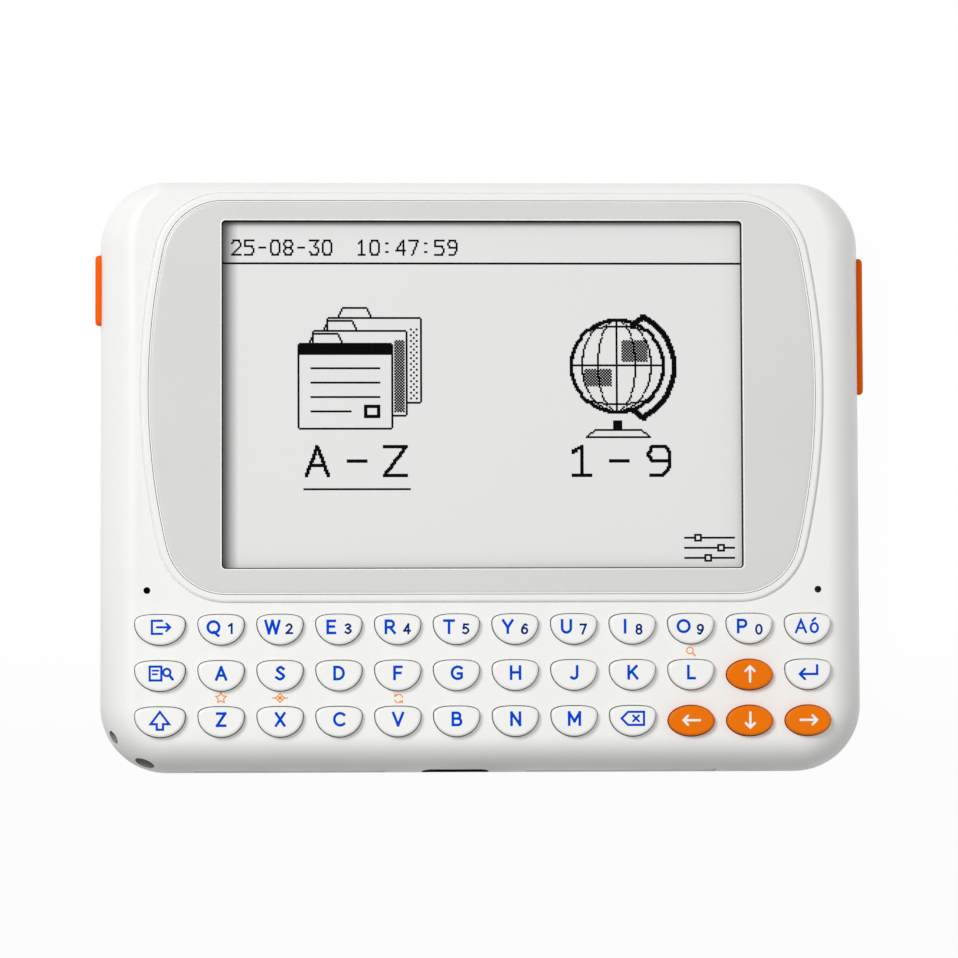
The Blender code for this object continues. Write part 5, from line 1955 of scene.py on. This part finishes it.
STEM: Outline = [(0, 0), (0, 1)]
LETTERS: dict[str, tuple[Outline, ...]] = {
    "A": ([(0, 0), (0.4, 1)], [(0.8, 0), (0.4, 1)], [(0.16, 0.32), (0.64, 0.32)]),
    "B": (STEM, bowl(0.60, 1, 0.53), bowl(0.68, 0.53, 0)),
    "C": (arc((0.48, 0.5), (0.48, 0.5), 48, 312, 24),),
    "D": (STEM, bowl(0.74, 1, 0)),
    "E": (STEM, [(0, 1), (0.58, 1)], [(0, 0.53), (0.50, 0.53)], [(0, 0), (0.60, 0)]),
    "F": (STEM, [(0, 1), (0.57, 1)], [(0, 0.50), (0.48, 0.50)]),
    "G": (
        [*arc((0.48, 0.5), (0.48, 0.5), 50, 300, 24), (0.80, 0.12), (0.80, 0.44)],
        [(0.80, 0.44), (0.50, 0.44)],
    ),
    "H": (STEM, [(0.74, 0), (0.74, 1)], [(0, 0.52), (0.74, 0.52)]),
    "I": (STEM,),
    "J": ([(0.46, 1), (0.46, 0.30), *arc((0.19, 0.27), (0.27, 0.27), 0, -140, 10)[1:]],),
    "K": (STEM, [(0.64, 1), (0, 0.34)], [(0.24, 0.58), (0.70, 0)]),
    "L": (STEM, [(0, 0), (0.52, 0)]),
    "M": (STEM, [(0, 1), (0.44, 0.28)], [(0.44, 0.28), (0.88, 1)], [(0.88, 0), (0.88, 1)]),
    "N": (STEM, [(0, 1), (0.70, 0)], [(0.70, 0), (0.70, 1)]),
    "O": (circle((0.48, 0.5), 0.48, 32),),
    "P": (STEM, bowl(0.66, 1, 0.44)),
    "Q": (circle((0.47, 0.5), 0.47, 32), [(0.52, 0.10), (0.86, -0.20)]),
    "R": (STEM, bowl(0.64, 1, 0.46), [(0.34, 0.46), (0.72, 0)]),
    "S": (
        bend(
            [(0.58, 0.86), (0.34, 1), (0.06, 0.78), (0.32, 0.53), (0.62, 0.26), (0.32, 0), (0.0, 0.15)]
        ),
    ),
    "T": ([(0, 1), (0.76, 1)], [(0.38, 1), (0.38, 0)]),
    "U": ([(0, 1), *arc((0.36, 0.36), (0.36, 0.36), 180, 360, 16), (0.72, 1)],),
    "V": ([(0, 1), (0.4, 0)], [(0.8, 1), (0.4, 0)]),
    "W": ([(0, 1), (0.28, 0)], [(0.28, 0), (0.57, 1)], [(0.57, 1), (0.86, 0)], [(0.86, 0), (1.14, 1)]),
    "X": ([(0, 0), (0.68, 1)], [(0, 1), (0.68, 0)]),
    "Y": ([(0, 1), (0.38, 0.42)], [(0.76, 1), (0.38, 0.42)], [(0.38, 0.42), (0.38, 0)]),
    "Z": ([(0, 1), (0.66, 1)], [(0.66, 1), (0, 0)], [(0, 0), (0.66, 0)]),
    "0": (arc((0.31, 0.5), (0.31, 0.5), 0, 360, 32)[:-1],),
    "1": ([(0.02, 0.80), (0.32, 1)], [(0.32, 0), (0.32, 1)]),
    "2": (
        bend([(0.02, 0.82), (0.30, 1), (0.57, 0.75), (0.36, 0.38), (0.0, 0.0)]),
        [(0, 0), (0.62, 0)],
    ),
    "3": (
        bend([(0.04, 0.88), (0.30, 1), (0.55, 0.78), (0.22, 0.54)]),
        bend([(0.22, 0.54), (0.60, 0.27), (0.28, 0), (0.0, 0.13)]),
    ),
    "4": ([(0.46, 0), (0.46, 1)], [(0.46, 1), (0, 0.28)], [(0, 0.28), (0.64, 0.28)]),
    "5": (
        [(0.54, 1), (0.09, 1), (0.05, 0.56)],
        bend([(0.05, 0.56), (0.32, 0.64), (0.60, 0.32), (0.30, 0), (0.0, 0.10)]),
    ),
    "6": (bend([(0.55, 0.92), (0.34, 1), (0.03, 0.50), (0.07, 0.18)]), circle((0.31, 0.31), 0.30, 24)),
    "7": ([(0, 1), (0.60, 1)], [(0.60, 1), (0.22, 0)]),
    "8": (circle((0.31, 0.75), 0.25, 24), circle((0.31, 0.26), 0.28, 24)),
    "9": (bend([(0.05, 0.08), (0.26, 0), (0.57, 0.50), (0.53, 0.82)]), circle((0.29, 0.69), 0.30, 24)),
}


@dataclass(frozen=True)
class Lettering:
    """Letters and digits drawn with an even pen."""

    pen_share: float = 0.18

    def strokes(self, character: str, height: float, centre: Point) -> list[Stroke]:
        """Strokes of one character.

        Args:
            character: Capital letter or digit.
            height: Height of a capital, with the pen's width.
            centre: Middle of the capital's height and width.

        Returns:
            The strokes, in their place.
        """
        pen = height * self.pen_share
        size = height - pen
        lines = LETTERS[character]
        across = [x for line in lines for x, _ in line]
        middle = (min(across) + max(across)) / 2
        strokes = []
        for line in lines:
            closed = len(line) in (24, 32) and line[0] != line[-1] and character in "OQ0689"
            points = [
                (centre[0] + (x - middle) * size, centre[1] + (y - 0.5) * size) for x, y in line
            ]
            strokes.append(Stroke(points, pen, closed, LineEnd.SQUARE))
        return strokes


@dataclass
class Legends:
    """What is printed on the caps."""

    form: KeypadForm
    lettering: Lettering = Lettering()
    top: float = 0.0144
    thickness: float = 0.00001
    capital: float = 0.00203
    capital_rise: float = 0.00033
    digit: float = 0.00152
    letter_shift: float = -0.00105
    digit_shift: float = 0.00127
    digit_tuck: float = 0.0004
    digit_rise: float = 0.00014
    digit_fall: float = 0.00003
    digit_row: str = "qwertyuiop"
    digits: str = "1234567890"
    line: float = 0.00031
    arrow_line: float = 0.00033

    def build(self, palette: Palette) -> list[bpy.types.Object]:
        """Prints the legend of every key."""
        made = []
        for key in self.form.keys():
            if key.shape is CapShape.ROUND:
                form, ink = self._arrow(key), palette.white_ink
            elif len(key.name) == 1:
                form, ink = self._letter(key), palette.blue_ink
            else:
                form, ink = self._symbol(key), palette.blue_ink
            legend = Workpiece("legend_" + key.name, form, ink)
            slot = Slot.ORANGE_KEYS if key.shape is CapShape.ROUND else Slot.WHITE_KEYS
            made.append(legend.finish(slot, key.body, even=False))
            if key.name in self.digit_row and len(key.name) == 1:
                made.append(self._digit(key, palette))
        return made

    def _character(self, character: str, height: float, key: Key, shift: Point) -> bmesh.types.BMesh:
        """Character at a place on a cap."""
        centre = (key.place[0] + shift[0], key.place[1] + shift[1])
        strokes = self.lettering.strokes(character, height, centre)
        return drawn(strokes, self.top, self.thickness)

    def _letter(self, key: Key) -> bmesh.types.BMesh:
        """Capital letter of a key."""
        shift = self.letter_shift if key.name in self.digit_row else 0.0
        return self._character(key.name.upper(), self.capital, key, (shift, self.capital_rise))

    def _digit(self, key: Key, palette: Palette) -> bpy.types.Object:
        """Digit beside the letter of a key in the top row."""
        digit = self.digits[self.digit_row.index(key.name)]
        narrow = self.digit_tuck if key.name == "i" else 0.0
        rise = self.digit_rise - self.digit_fall * self.digit_row.index(key.name)
        form = self._character(digit, self.digit, key, (self.digit_shift - narrow, rise))
        piece = Workpiece("digit_" + digit, form, palette.navy_ink)
        return piece.finish(Slot.WHITE_KEYS, key.body, even=False)

    def _arrow(self, key: Key) -> bmesh.types.BMesh:
        """Thin arrow on a round key."""
        turn = {"right": 0, "up": 1, "left": 2, "down": 3}[key.name]
        cos, sin = ((1, 0), (0, 1), (-1, 0), (0, -1))[turn]
        long = 0.00114 if turn % 2 == 0 else 0.00104
        head = 0.00062
        lines = [
            Stroke([(-long, 0), (long, 0)], self.arrow_line),
            Stroke([(long - head, head), (long, 0), (long - head, -head)], self.arrow_line),
        ]
        return self._drawn_at(lines, (key.place[0], key.place[1] + 0.00005), cos, sin)

    def _drawn_at(
        self, lines: list[Stroke], place: Point, cos: float = 1, sin: float = 0
    ) -> bmesh.types.BMesh:
        """Lines turned and moved to a place on a cap."""
        for line in lines:
            line.points = [
                (place[0] + x * cos - y * sin, place[1] + x * sin + y * cos) for x, y in line.points
            ]
        return drawn(lines, self.top, self.thickness)

    def _symbol(self, key: Key) -> bmesh.types.BMesh:
        """Symbol of a key that has no letter."""
        lines = {
            "exit": self._door,
            "accent": self._accents,
            "look_up": self._page,
            "enter": self._return,
            "shift": self._shift,
            "delete": self._delete,
        }[key.name]()
        return self._drawn_at(lines, (key.place[0], key.place[1] + self.capital_rise))

    def _door(self) -> list[Stroke]:
        """Doorway with an arrow out of it."""
        line = self.line
        return [
            Stroke([(0.0003, 0.0009), (-0.0011, 0.0009), (-0.0011, -0.0009), (0.0003, -0.0009)], line),
            Stroke([(-0.0004, 0), (0.0014, 0)], line),
            Stroke([(0.0009, 0.0005), (0.0014, 0), (0.0009, -0.0005)], line),
        ]

    def _accents(self) -> list[Stroke]:
        """Letter with an accent over it, between two smaller accents."""
        line = self.line
        return [
            Stroke([(-0.0017, -0.0009), (-0.0010, 0.0008), (-0.0003, -0.0009)], line),
            Stroke([(-0.0014, -0.0003), (-0.0006, -0.0003)], line * 0.9),
            Stroke(arc((0.00085, -0.00025), (0.0005, 0.00062), 0, 360, 20)[:-1], line, closed=True),
            Stroke([(0.0006, 0.0007), (0.0010, 0.00105)], line),
        ]

    def _page(self) -> list[Stroke]:
        """Page with lines and a lens over its corner."""
        line = self.line
        return [
            Stroke([(-0.0014, 0.00095), (0.0002, 0.00095), (0.0002, -0.00095), (-0.0014, -0.00095)],
                   line, closed=True),
            Stroke([(-0.0010, 0.0004), (-0.0002, 0.0004)], line * 0.8),
            Stroke([(-0.0010, -0.0001), (-0.0004, -0.0001)], line * 0.8),
            Stroke(circle((0.00095, 0.00015), 0.0005, 20), line, closed=True),
            Stroke([(0.00135, -0.00030), (0.00175, -0.00080)], line * 1.2),
        ]

    def _return(self) -> list[Stroke]:
        """Return arrow."""
        line = self.line * 1.1
        return [
            Stroke([(0.0012, 0.0009), (0.0012, -0.0003), (-0.0012, -0.0003)], line),
            Stroke([(-0.0005, 0.0004), (-0.0012, -0.0003), (-0.0005, -0.0010)], line),
        ]

    def _shift(self) -> list[Stroke]:
        """Outlined arrow that points up."""
        half = [(0.00128, -0.00050), (0.00043, -0.00050), (0.00043, -0.00126)]
        points = [(0, 0.00118), *half, *[(-x, y) for x, y in reversed(half)]]
        return [Stroke([(x, y - 0.0001) for x, y in points], self.line, closed=True)]

    def _delete(self) -> list[Stroke]:
        """Tag that points left, with a cross in it."""
        line = self.line
        tag = [(-0.0016, 0), (-0.0007, 0.0009), (0.0015, 0.0009), (0.0015, -0.0009), (-0.0007, -0.0009)]
        return [
            Stroke(tag, line, closed=True),
            Stroke([(0.0000, 0.0004), (0.0008, -0.0004)], line * 0.9),
            Stroke([(0.0008, 0.0004), (0.0000, -0.0004)], line * 0.9),
        ]


@dataclass
class CasingMarks:
    """Small orange marks printed on the casing beside some keys."""

    level: float = 0.0133
    thickness: float = 0.00001
    line: float = 0.00016
    star_place: Point = (-0.03625, -0.03095)
    sparkle_place: Point = (-0.02812, -0.03097)
    cycle_place: Point = (-0.01178, -0.03109)
    lens_place: Point = (0.02874, -0.02470)

    def build(self, palette: Palette) -> list[bpy.types.Object]:
        """Prints every mark."""
        marks = {
            "mark_star": self._star(),
            "mark_sparkle": self._sparkle(),
            "mark_cycle": self._cycle(),
            "mark_lens": self._lens(),
        }
        made = []
        for name, strokes in marks.items():
            form = drawn(strokes, self.level + self.thickness, 2 * self.thickness)
            made.append(Workpiece(name, form, palette.orange_ink).finish(Slot.CASING, even=False))
        return made

    def _star(self) -> list[Stroke]:
        """Outline of a five-pointed star."""
        points = []
        for number in range(10):
            radius = 0.00076 if number % 2 == 0 else 0.00038
            points += arc(self.star_place, (radius, radius), 90 + 36 * number, 90, 1)[:1]
        return [Stroke(points, self.line, closed=True)]

    def _sparkle(self) -> list[Stroke]:
        """Diamond on a line."""
        x, y = self.sparkle_place
        diamond = [(x - 0.0006, y), (x, y - 0.0006), (x + 0.0006, y), (x, y + 0.0006)]
        return [
            Stroke([(x - 0.00004, y), (x + 0.00004, y)], 0.00045, end=LineEnd.SQUARE),
            Stroke(diamond, self.line, closed=True),
            Stroke([(x - 0.00105, y), (x - 0.0006, y)], self.line),
            Stroke([(x + 0.0006, y), (x + 0.00105, y)], self.line),
        ]

    def _cycle(self) -> list[Stroke]:
        """Two arrows that chase each other round a circle."""
        strokes = []
        for turn in (0, 180):
            way = arc(self.cycle_place, (0.00058, 0.00058), 20 + turn, 150 + turn, 12)
            strokes.append(Stroke(way, self.line))
            end = way[-1]
            angle = math.radians(240 + turn)
            for spread in (0.62, -0.62):
                back = angle + math.pi + spread
                strokes.append(
                    Stroke(
                        [end, (end[0] + 0.00036 * math.cos(back), end[1] + 0.00036 * math.sin(back))],
                        self.line * 0.9,
                    )
                )
        return strokes

    def _lens(self) -> list[Stroke]:
        """Magnifying lens."""
        x, y = self.lens_place
        return [
            Stroke(circle((x - 0.00014, y + 0.00014), 0.00045, 24), self.line, closed=True),
            Stroke([(x + 0.00022, y - 0.00022), (x + 0.0006, y - 0.0006)], self.line * 1.3),
        ]


@dataclass
class SideButtons:
    """Orange power button on the left and rocker on the right."""

    casing: CasingForm
    power: ButtonForm
    rocker: ButtonForm
    flange_x: float = 0.0507
    flange_thickness: float = 0.0008
    lap: float = 0.0003
    proud: float = 0.0007
    edge: float = 0.0005
    edge_steps: int = 6
    post_width: float = 0.0020
    post_thickness: float = 0.0012
    post_radius: float = 0.00015
    power_post: float = 0.0007
    rocker_post: float = 0.0005
    rocker_spread: float = 0.0120
    nose_radius: float = 0.0011

    def build(self, palette: Palette) -> list[bpy.types.Object]:
        """Makes both buttons and dresses them."""
        inner = self.flange_x - self.flange_thickness
        power = Workpiece("power_button_cap", self._head(self.power), palette.orange_button)
        post = self._post(0.0, inner - self.power_post, inner + OVERRUN / 4)
        power.join(placed(post, facing_side(self.power.side, self.power.y, self.power.level)))
        rocker = Workpiece("page_rocker_cap", self._head(self.rocker), palette.orange_button)
        place = facing_side(self.rocker.side, self.rocker.y, self.rocker.level)
        for end in (-1, 1):
            post = self._post(
                end * self.rocker_spread / 2, inner - self.rocker_post, inner + OVERRUN / 4
            )
            rocker.join(placed(post, place))
        half = self.post_thickness / 2
        nose = circle((inner, self.rocker.y), self.nose_radius, 32)
        rocker.join(plate(nose, self.rocker.level - half, self.rocker.level + half))
        return [
            power.finish(Slot.ORANGE_KEYS, "power", ["power_button"]),
            rocker.finish(Slot.ORANGE_KEYS, "rocker", ["page_rocker"]),
        ]

    def _head(self, button: ButtonForm) -> bmesh.types.BMesh:
        """Button with its flange and a rounded outer edge."""
        inner = self.flange_x - self.flange_thickness
        tip = self.casing.width / 2 + self.proud
        longer = 2 * (button.end_clearance + self.lap)
        thicker = 2 * (button.clearance + self.lap)
        rings = [
            Ring(button.outline(longer, thicker), inner),
            Ring(button.outline(longer, thicker), self.flange_x),
            Ring(button.outline(0, 0), self.flange_x),
        ]
        rings += edge_rings(
            lambda grow: button.outline(2 * grow, 2 * grow), tip, self.edge, self.edge_steps
        )
        return placed(loft(rings), facing_side(button.side, button.y, button.level))

    def _post(self, along: float, low: float, high: float) -> bmesh.types.BMesh:
        """Post that presses a switch."""
        outline = rounded_rectangle(
            self.post_width, self.post_thickness, self.post_radius, 4, (along, 0)
        )
        return plate(outline, low, high)


@dataclass
class ChargingPort:
    """Steel mouth of the charging port and the contact tongue inside it."""

    casing: CasingForm
    form: PortForm
    setback: float = 0.0007
    length: float = 0.0073
    wall: float = 0.0003
    tongue_width: float = 0.0064
    tongue_thickness: float = 0.0007
    tongue_radius: float = 0.0003
    tongue_edge: float = 0.00015
    base_length: float = 0.0014
    tongue_length: float = 0.0048
    contact_count: int = 12
    contact_size: tuple[float, float, float] = (0.00026, 0.00003, 0.0030)

    def build(self, palette: Palette) -> list[bpy.types.Object]:
        """Makes the port's pieces and dresses them."""
        mouth = self.casing.height / 2 - self.setback
        back = mouth - self.length
        place = facing_bottom(self.form.x, self.form.level)
        bore = self.form.outline(-self.wall)
        outer = self.form.outline(0)
        rings = [Ring(bore, back), Ring(outer, back)]
        rings += edge_rings(self.form.outline, mouth, self.wall / 2, 4)
        for drawn_in, down in reversed(rounding(self.wall / 2, 4)):
            rings.append(Ring(self.form.outline(drawn_in - self.wall), mouth - down))
        tube = Workpiece("port_mouth", placed(loft(rings, closed=True), place), palette.dark_nickel)
        base = self.form.outline(-self.wall - SEAT)
        step = back + self.base_length
        tip = step + self.tongue_length
        rings = [Ring(base, back), Ring(base, step), Ring(self._blade(0), step)]
        rings += edge_rings(self._blade, tip, self.tongue_edge, 3)
        tongue = Workpiece("contact_tongue", placed(loft(rings), place), palette.tongue)
        contacts = Workpiece("port_contacts", placed(self._contacts(tip), place), palette.gold)
        return [
            tube.finish(Slot.STEEL, nodes=["port_shell"]),
            tongue.finish(Slot.BLACK_PARTS, nodes=["port_tongue"]),
            contacts.finish(Slot.STEEL, even=False),
        ]

    def _blade(self, grow: float) -> Outline:
        """Outline of the tongue grown by a distance."""
        return rounded_rectangle(
            self.tongue_width + 2 * grow,
            self.tongue_thickness + 2 * grow,
            self.tongue_radius + grow,
            6,
        )

    def _contacts(self, tip: float) -> bmesh.types.BMesh:
        """Row of contacts on either side of the tongue."""
        form = bmesh.new()
        pitch = self.tongue_width * 0.86 / self.contact_count
        for side in (-1, 1):
            for number in range(self.contact_count):
                x = pitch * (number - (self.contact_count - 1) / 2)
                centre = (x, side * self.tongue_thickness / 2, tip - 0.0004 - self.contact_size[2] / 2)
                matrix = Matrix.Translation(centre) @ Matrix.Diagonal((*self.contact_size, 1))
                bmesh.ops.create_cube(form, size=1, matrix=matrix)
        return form


@dataclass
class CaseScrews:
    """Four case screws with a cross recess in the head."""

    head_radius: float = 0.0016
    head_low: float = 0.0005
    head_height: float = 0.0011
    head_edge: float = 0.00035
    shank_radius: float = 0.0008
    shank_length: float = 0.0074
    thread_pitch: float = 0.00055
    thread_depth: float = 0.00012
    recess_size: Point = (0.0019, 0.00042)
    recess_depth: float = 0.0007

    def build(self, palette: Palette) -> list[bpy.types.Object]:
        """Makes the four screws and dresses them."""
        names = ("upper_left", "upper_right", "lower_left", "lower_right")
        made = []
        for name, place in zip(names, SCREW_PLACES):
            screw = Workpiece(name + "_case_screw", self._turned(place), palette.screw_steel)
            screw.cut(self._cross(place))
            made.append(screw.finish(Slot.STEEL, nodes=[name + "_screw"]))
        return made

    def _turned(self, place: Point) -> bmesh.types.BMesh:
        """Screw turned from head to tip."""
        bearing = self.head_low + self.head_height
        rings = [
            Ring(circle(place, self.head_radius - drawn_in, 40), self.head_low + down)
            for drawn_in, down in reversed(rounding(self.head_edge, 5))
        ]
        rings += [
            Ring(circle(place, self.head_radius, 40), bearing),
            Ring(circle(place, self.shank_radius, 40), bearing),
        ]
        turns = int(self.shank_length / self.thread_pitch) - 1
        for number in range(turns):
            level = bearing + self.thread_pitch * (number + 0.9)
            root = self.shank_radius - self.thread_depth
            rings += [
                Ring(circle(place, root, 40), level),
                Ring(circle(place, self.shank_radius, 40), level + self.thread_pitch / 2),
            ]
        rings.append(Ring(circle(place, self.shank_radius * 0.6, 40), bearing + self.shank_length))
        return loft(rings)

    def _cross(self, place: Point) -> bmesh.types.BMesh:
        """Tapered cross recess."""
        blades = []
        for turned_round in (False, True):
            rings = []
            for share, level in ((1.0, self.head_low - OVERRUN), (0.45, self.head_low + self.recess_depth)):
                long, thick = self.recess_size[0] * share, self.recess_size[1] * (0.6 + 0.4 * share)
                size = (thick, long) if turned_round else (long, thick)
                rings.append(Ring(rounded_rectangle(*size, 0.00004, 2, place), level))
            blades.append(loft(rings))
        return Workpiece("blade", blades[0]).join(blades[1]).to_form()


class Inside:
    """Nodes of the frame that keep their shape and only get a finish."""

    def dress(self, palette: Palette) -> int:
        """Gives each kept node its material.

        Args:
            palette: The materials.

        Returns:
            Number of nodes dressed.
        """
        looks = {
            "key_mat": palette.rubber,
            "dome_film": palette.film,
            "display_flex": palette.film,
            "display_holder": palette.black_plastic,
            "flex_connector": palette.black_plastic,
            "power_switch": palette.black_plastic,
            "rocker_switch": palette.black_plastic,
            "main_board": palette.board,
            "charge_light": palette.lens,
            "microphone": palette.gasket,
            "speaker": palette.steel,
            "battery": palette.cell,
        }
        for name, look in looks.items():
            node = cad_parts[name]
            for slot in node.material_slots:
                slot.material = look
        return len(looks)


@dataclass
class Studio:
    """Pale floor, soft light from the upper left and the camera over the dictionary."""

    aim: tuple[float, float, float] = (-0.00057, -0.00078, 0.0138)
    distance: float = 0.700
    tilt: float = 3.42
    yaw: float = 2.52
    roll: float = -0.21
    lens: float = 190.1
    fill: float = 0.30
    fill_slope: float = 0.40
    fill_way: tuple[float, float, float] = (0.20, -0.22, 0.955)
    lamp_way: tuple[float, float, float] = (-0.45, 0.38, 0.81)
    lamp_distance: float = 1.4
    lamp_size: float = 0.46
    lamp_power: float = 10.8
    floor_size: float = 6.0
    floor_tones: Point = (0.02, 0.92)
    floor_turn: Point = (-0.040, -0.020)

    def build(self) -> None:
        """Makes the floor, the light and the camera."""
        self._camera()
        self._world()
        self._lamp()
        self._floor()

    def _camera(self) -> None:
        """Camera at the photograph's angle."""
        tilt, yaw = math.radians(self.tilt), math.radians(self.yaw)
        back = Vector(
            (-math.sin(yaw) * math.cos(tilt), -math.sin(tilt), math.cos(yaw) * math.cos(tilt))
        )
        right = Vector((0, 1, 0)).cross(back).normalized()
        up = back.cross(right)
        turn = math.radians(self.roll)
        right, up = (
            right * math.cos(turn) + up * math.sin(turn),
            up * math.cos(turn) - right * math.sin(turn),
        )
        data = bpy.data.cameras.new("camera")
        data.lens = self.lens
        data.sensor_width = 36.0
        camera = bpy.data.objects.new("camera", data)
        matrix = Matrix((right, up, back)).transposed().to_4x4()
        matrix.translation = Vector(self.aim) + back * self.distance
        camera.matrix_world = matrix
        bpy.context.scene.collection.objects.link(camera)
        bpy.context.scene.camera = camera

    def _world(self) -> None:
        """Pale surroundings, brighter from above, which the camera sees as white."""
        world = bpy.data.worlds.new("studio")
        bpy.context.scene.world = world
        world.use_nodes = True
        graph = Graph(world.node_tree)
        background = world.node_tree.nodes["Background"]
        path = graph.node("LightPath")
        seen = graph.math("MAXIMUM", path.outputs["Is Camera Ray"], path.outputs["Is Transmission Ray"])
        way = tuple(Vector(self.fill_way).normalized())
        slope = graph.node(
            "VectorMath", {0: graph.node("TexCoord").outputs["Generated"], 1: way}, operation="DOT_PRODUCT"
        )
        fill = graph.span(
            slope.outputs["Value"], -1.0, 1.0, self.fill - self.fill_slope, self.fill + self.fill_slope
        )
        strength = graph.math("MAXIMUM", fill, seen)
        graph.tree.links.new(strength, background.inputs["Strength"])
        background.inputs["Color"].default_value = (1.0, 1.0, 1.0, 1.0)

    def _lamp(self) -> None:
        """Large soft lamp at the upper left."""
        data = bpy.data.lights.new("softbox", "AREA")
        data.shape = "SQUARE"
        data.size = self.lamp_size
        data.energy = self.lamp_power
        data.color = (1.0, 0.995, 0.985)
        lamp = bpy.data.objects.new("softbox", data)
        way = Vector(self.lamp_way).normalized()
        lamp.location = way * self.lamp_distance
        lamp.rotation_mode = "QUATERNION"
        lamp.rotation_quaternion = way.to_track_quat("Z", "Y")
        bpy.context.scene.collection.objects.link(lamp)

    def _floor(self) -> None:
        """Pale floor, white to the camera and see-through from below, that keeps the shadow."""
        form = bmesh.new()
        bmesh.ops.create_grid(form, x_segments=1, y_segments=1, size=self.floor_size / 2)
        bmesh.ops.translate(form, vec=(0, 0, -0.00005), verts=form.verts)
        mesh = bpy.data.meshes.new("floor")
        form.to_mesh(mesh)
        form.free()
        floor = bpy.data.objects.new("floor", mesh)
        bpy.context.scene.collection.objects.link(floor)
        material = bpy.data.materials.new("pale_floor")
        material.use_nodes = True
        tree = material.node_tree
        graph = Graph(tree)
        tree.nodes.remove(tree.nodes["Principled BSDF"])
        path = graph.node("LightPath")
        cloud = graph.node("TexNoise", {"Vector": graph.place(), "Scale": 9.0, "Detail": 2.0})
        split = graph.node("SeparateXYZ", {"Vector": graph.place()})
        tone = graph.span(split.outputs["Y"], *self.floor_turn, *self.floor_tones)
        uneven = graph.math("MULTIPLY", tone, graph.span(cloud.outputs[0], 0.3, 0.7, 0.97, 1.03))
        matt = graph.node("BsdfDiffuse", {"Color": uneven})
        white = graph.node("Emission", {"Color": (1.0, 1.0, 1.0, 1.0), "Strength": 1.0})
        seen = graph.math(
            "MAXIMUM",
            path.outputs["Is Camera Ray"],
            graph.math("MAXIMUM", path.outputs["Is Glossy Ray"], path.outputs["Is Transmission Ray"]),
        )
        blend = graph.node("MixShader", {"Fac": graph.math("MULTIPLY", seen, 0.97)})
        tree.links.new(matt.outputs[0], blend.inputs[1])
        tree.links.new(white.outputs[0], blend.inputs[2])
        below = graph.math("MULTIPLY", graph.node("NewGeometry").outputs["Backfacing"], seen)
        clear = graph.node("MixShader", {"Fac": below})
        tree.links.new(blend.outputs[0], clear.inputs[1])
        tree.links.new(graph.node("BsdfTransparent").outputs[0], clear.inputs[2])
        tree.links.new(clear.outputs[0], tree.nodes["Material Output"].inputs["Surface"])
        mesh.materials.append(material)


@dataclass
class Dictionary:
    """The whole electronic dictionary."""

    casing: CasingForm = field(default_factory=CasingForm)
    barrel: BarrelForm = field(default_factory=BarrelForm)
    keypad: KeypadForm = field(default_factory=KeypadForm)
    screen: ScreenForm = field(default_factory=ScreenForm)
    port: PortForm = field(default_factory=PortForm)
    power: ButtonForm = ButtonForm(Side.LEFT, 0.0261, 0.0099, 0.0002)
    rocker: ButtonForm = ButtonForm(Side.RIGHT, 0.02105, 0.0192, 0.0004)

    def build(self) -> None:
        """Builds and dresses every sub-assembly."""
        palette = Palette()
        buttons = (self.power, self.rocker)
        front = FrontCasing(self.casing, self.barrel, self.keypad, self.screen, buttons, self.port)
        self._report("front casing", [front.build(palette)])
        self._report("rear casing", [RearCasing(self.casing).build(palette)])
        self._report("screen", Screen(self.screen, self.barrel).build(palette))
        self._report("key caps", KeyCaps(self.keypad).build(palette))
        self._report("legends", Legends(self.keypad).build(palette))
        self._report("casing marks", CasingMarks().build(palette))
        self._report("side buttons", SideButtons(self.casing, self.power, self.rocker).build(palette))
        self._report("charging port", ChargingPort(self.casing, self.port).build(palette))
        self._report("case screws", CaseScrews().build(palette))
        log.info("inside: %d nodes dressed", Inside().dress(palette))

    @staticmethod
    def _report(name: str, pieces: Sequence[bpy.types.Object]) -> None:
        """Logs what a sub-assembly made."""
        faces = sum(len(piece.data.polygons) for piece in pieces)
        log.info("%s: %d pieces, %d faces", name, len(pieces), faces)


def main() -> None:
    """Builds the dictionary in its studio."""
    logging.basicConfig(level=logging.INFO, format="%(name)s: %(message)s")
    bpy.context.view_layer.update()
    scene = bpy.context.scene
    scene.view_settings.view_transform = "Standard"
    Dictionary().build()
    Studio().build()


if __name__ == "__main__":
    main()
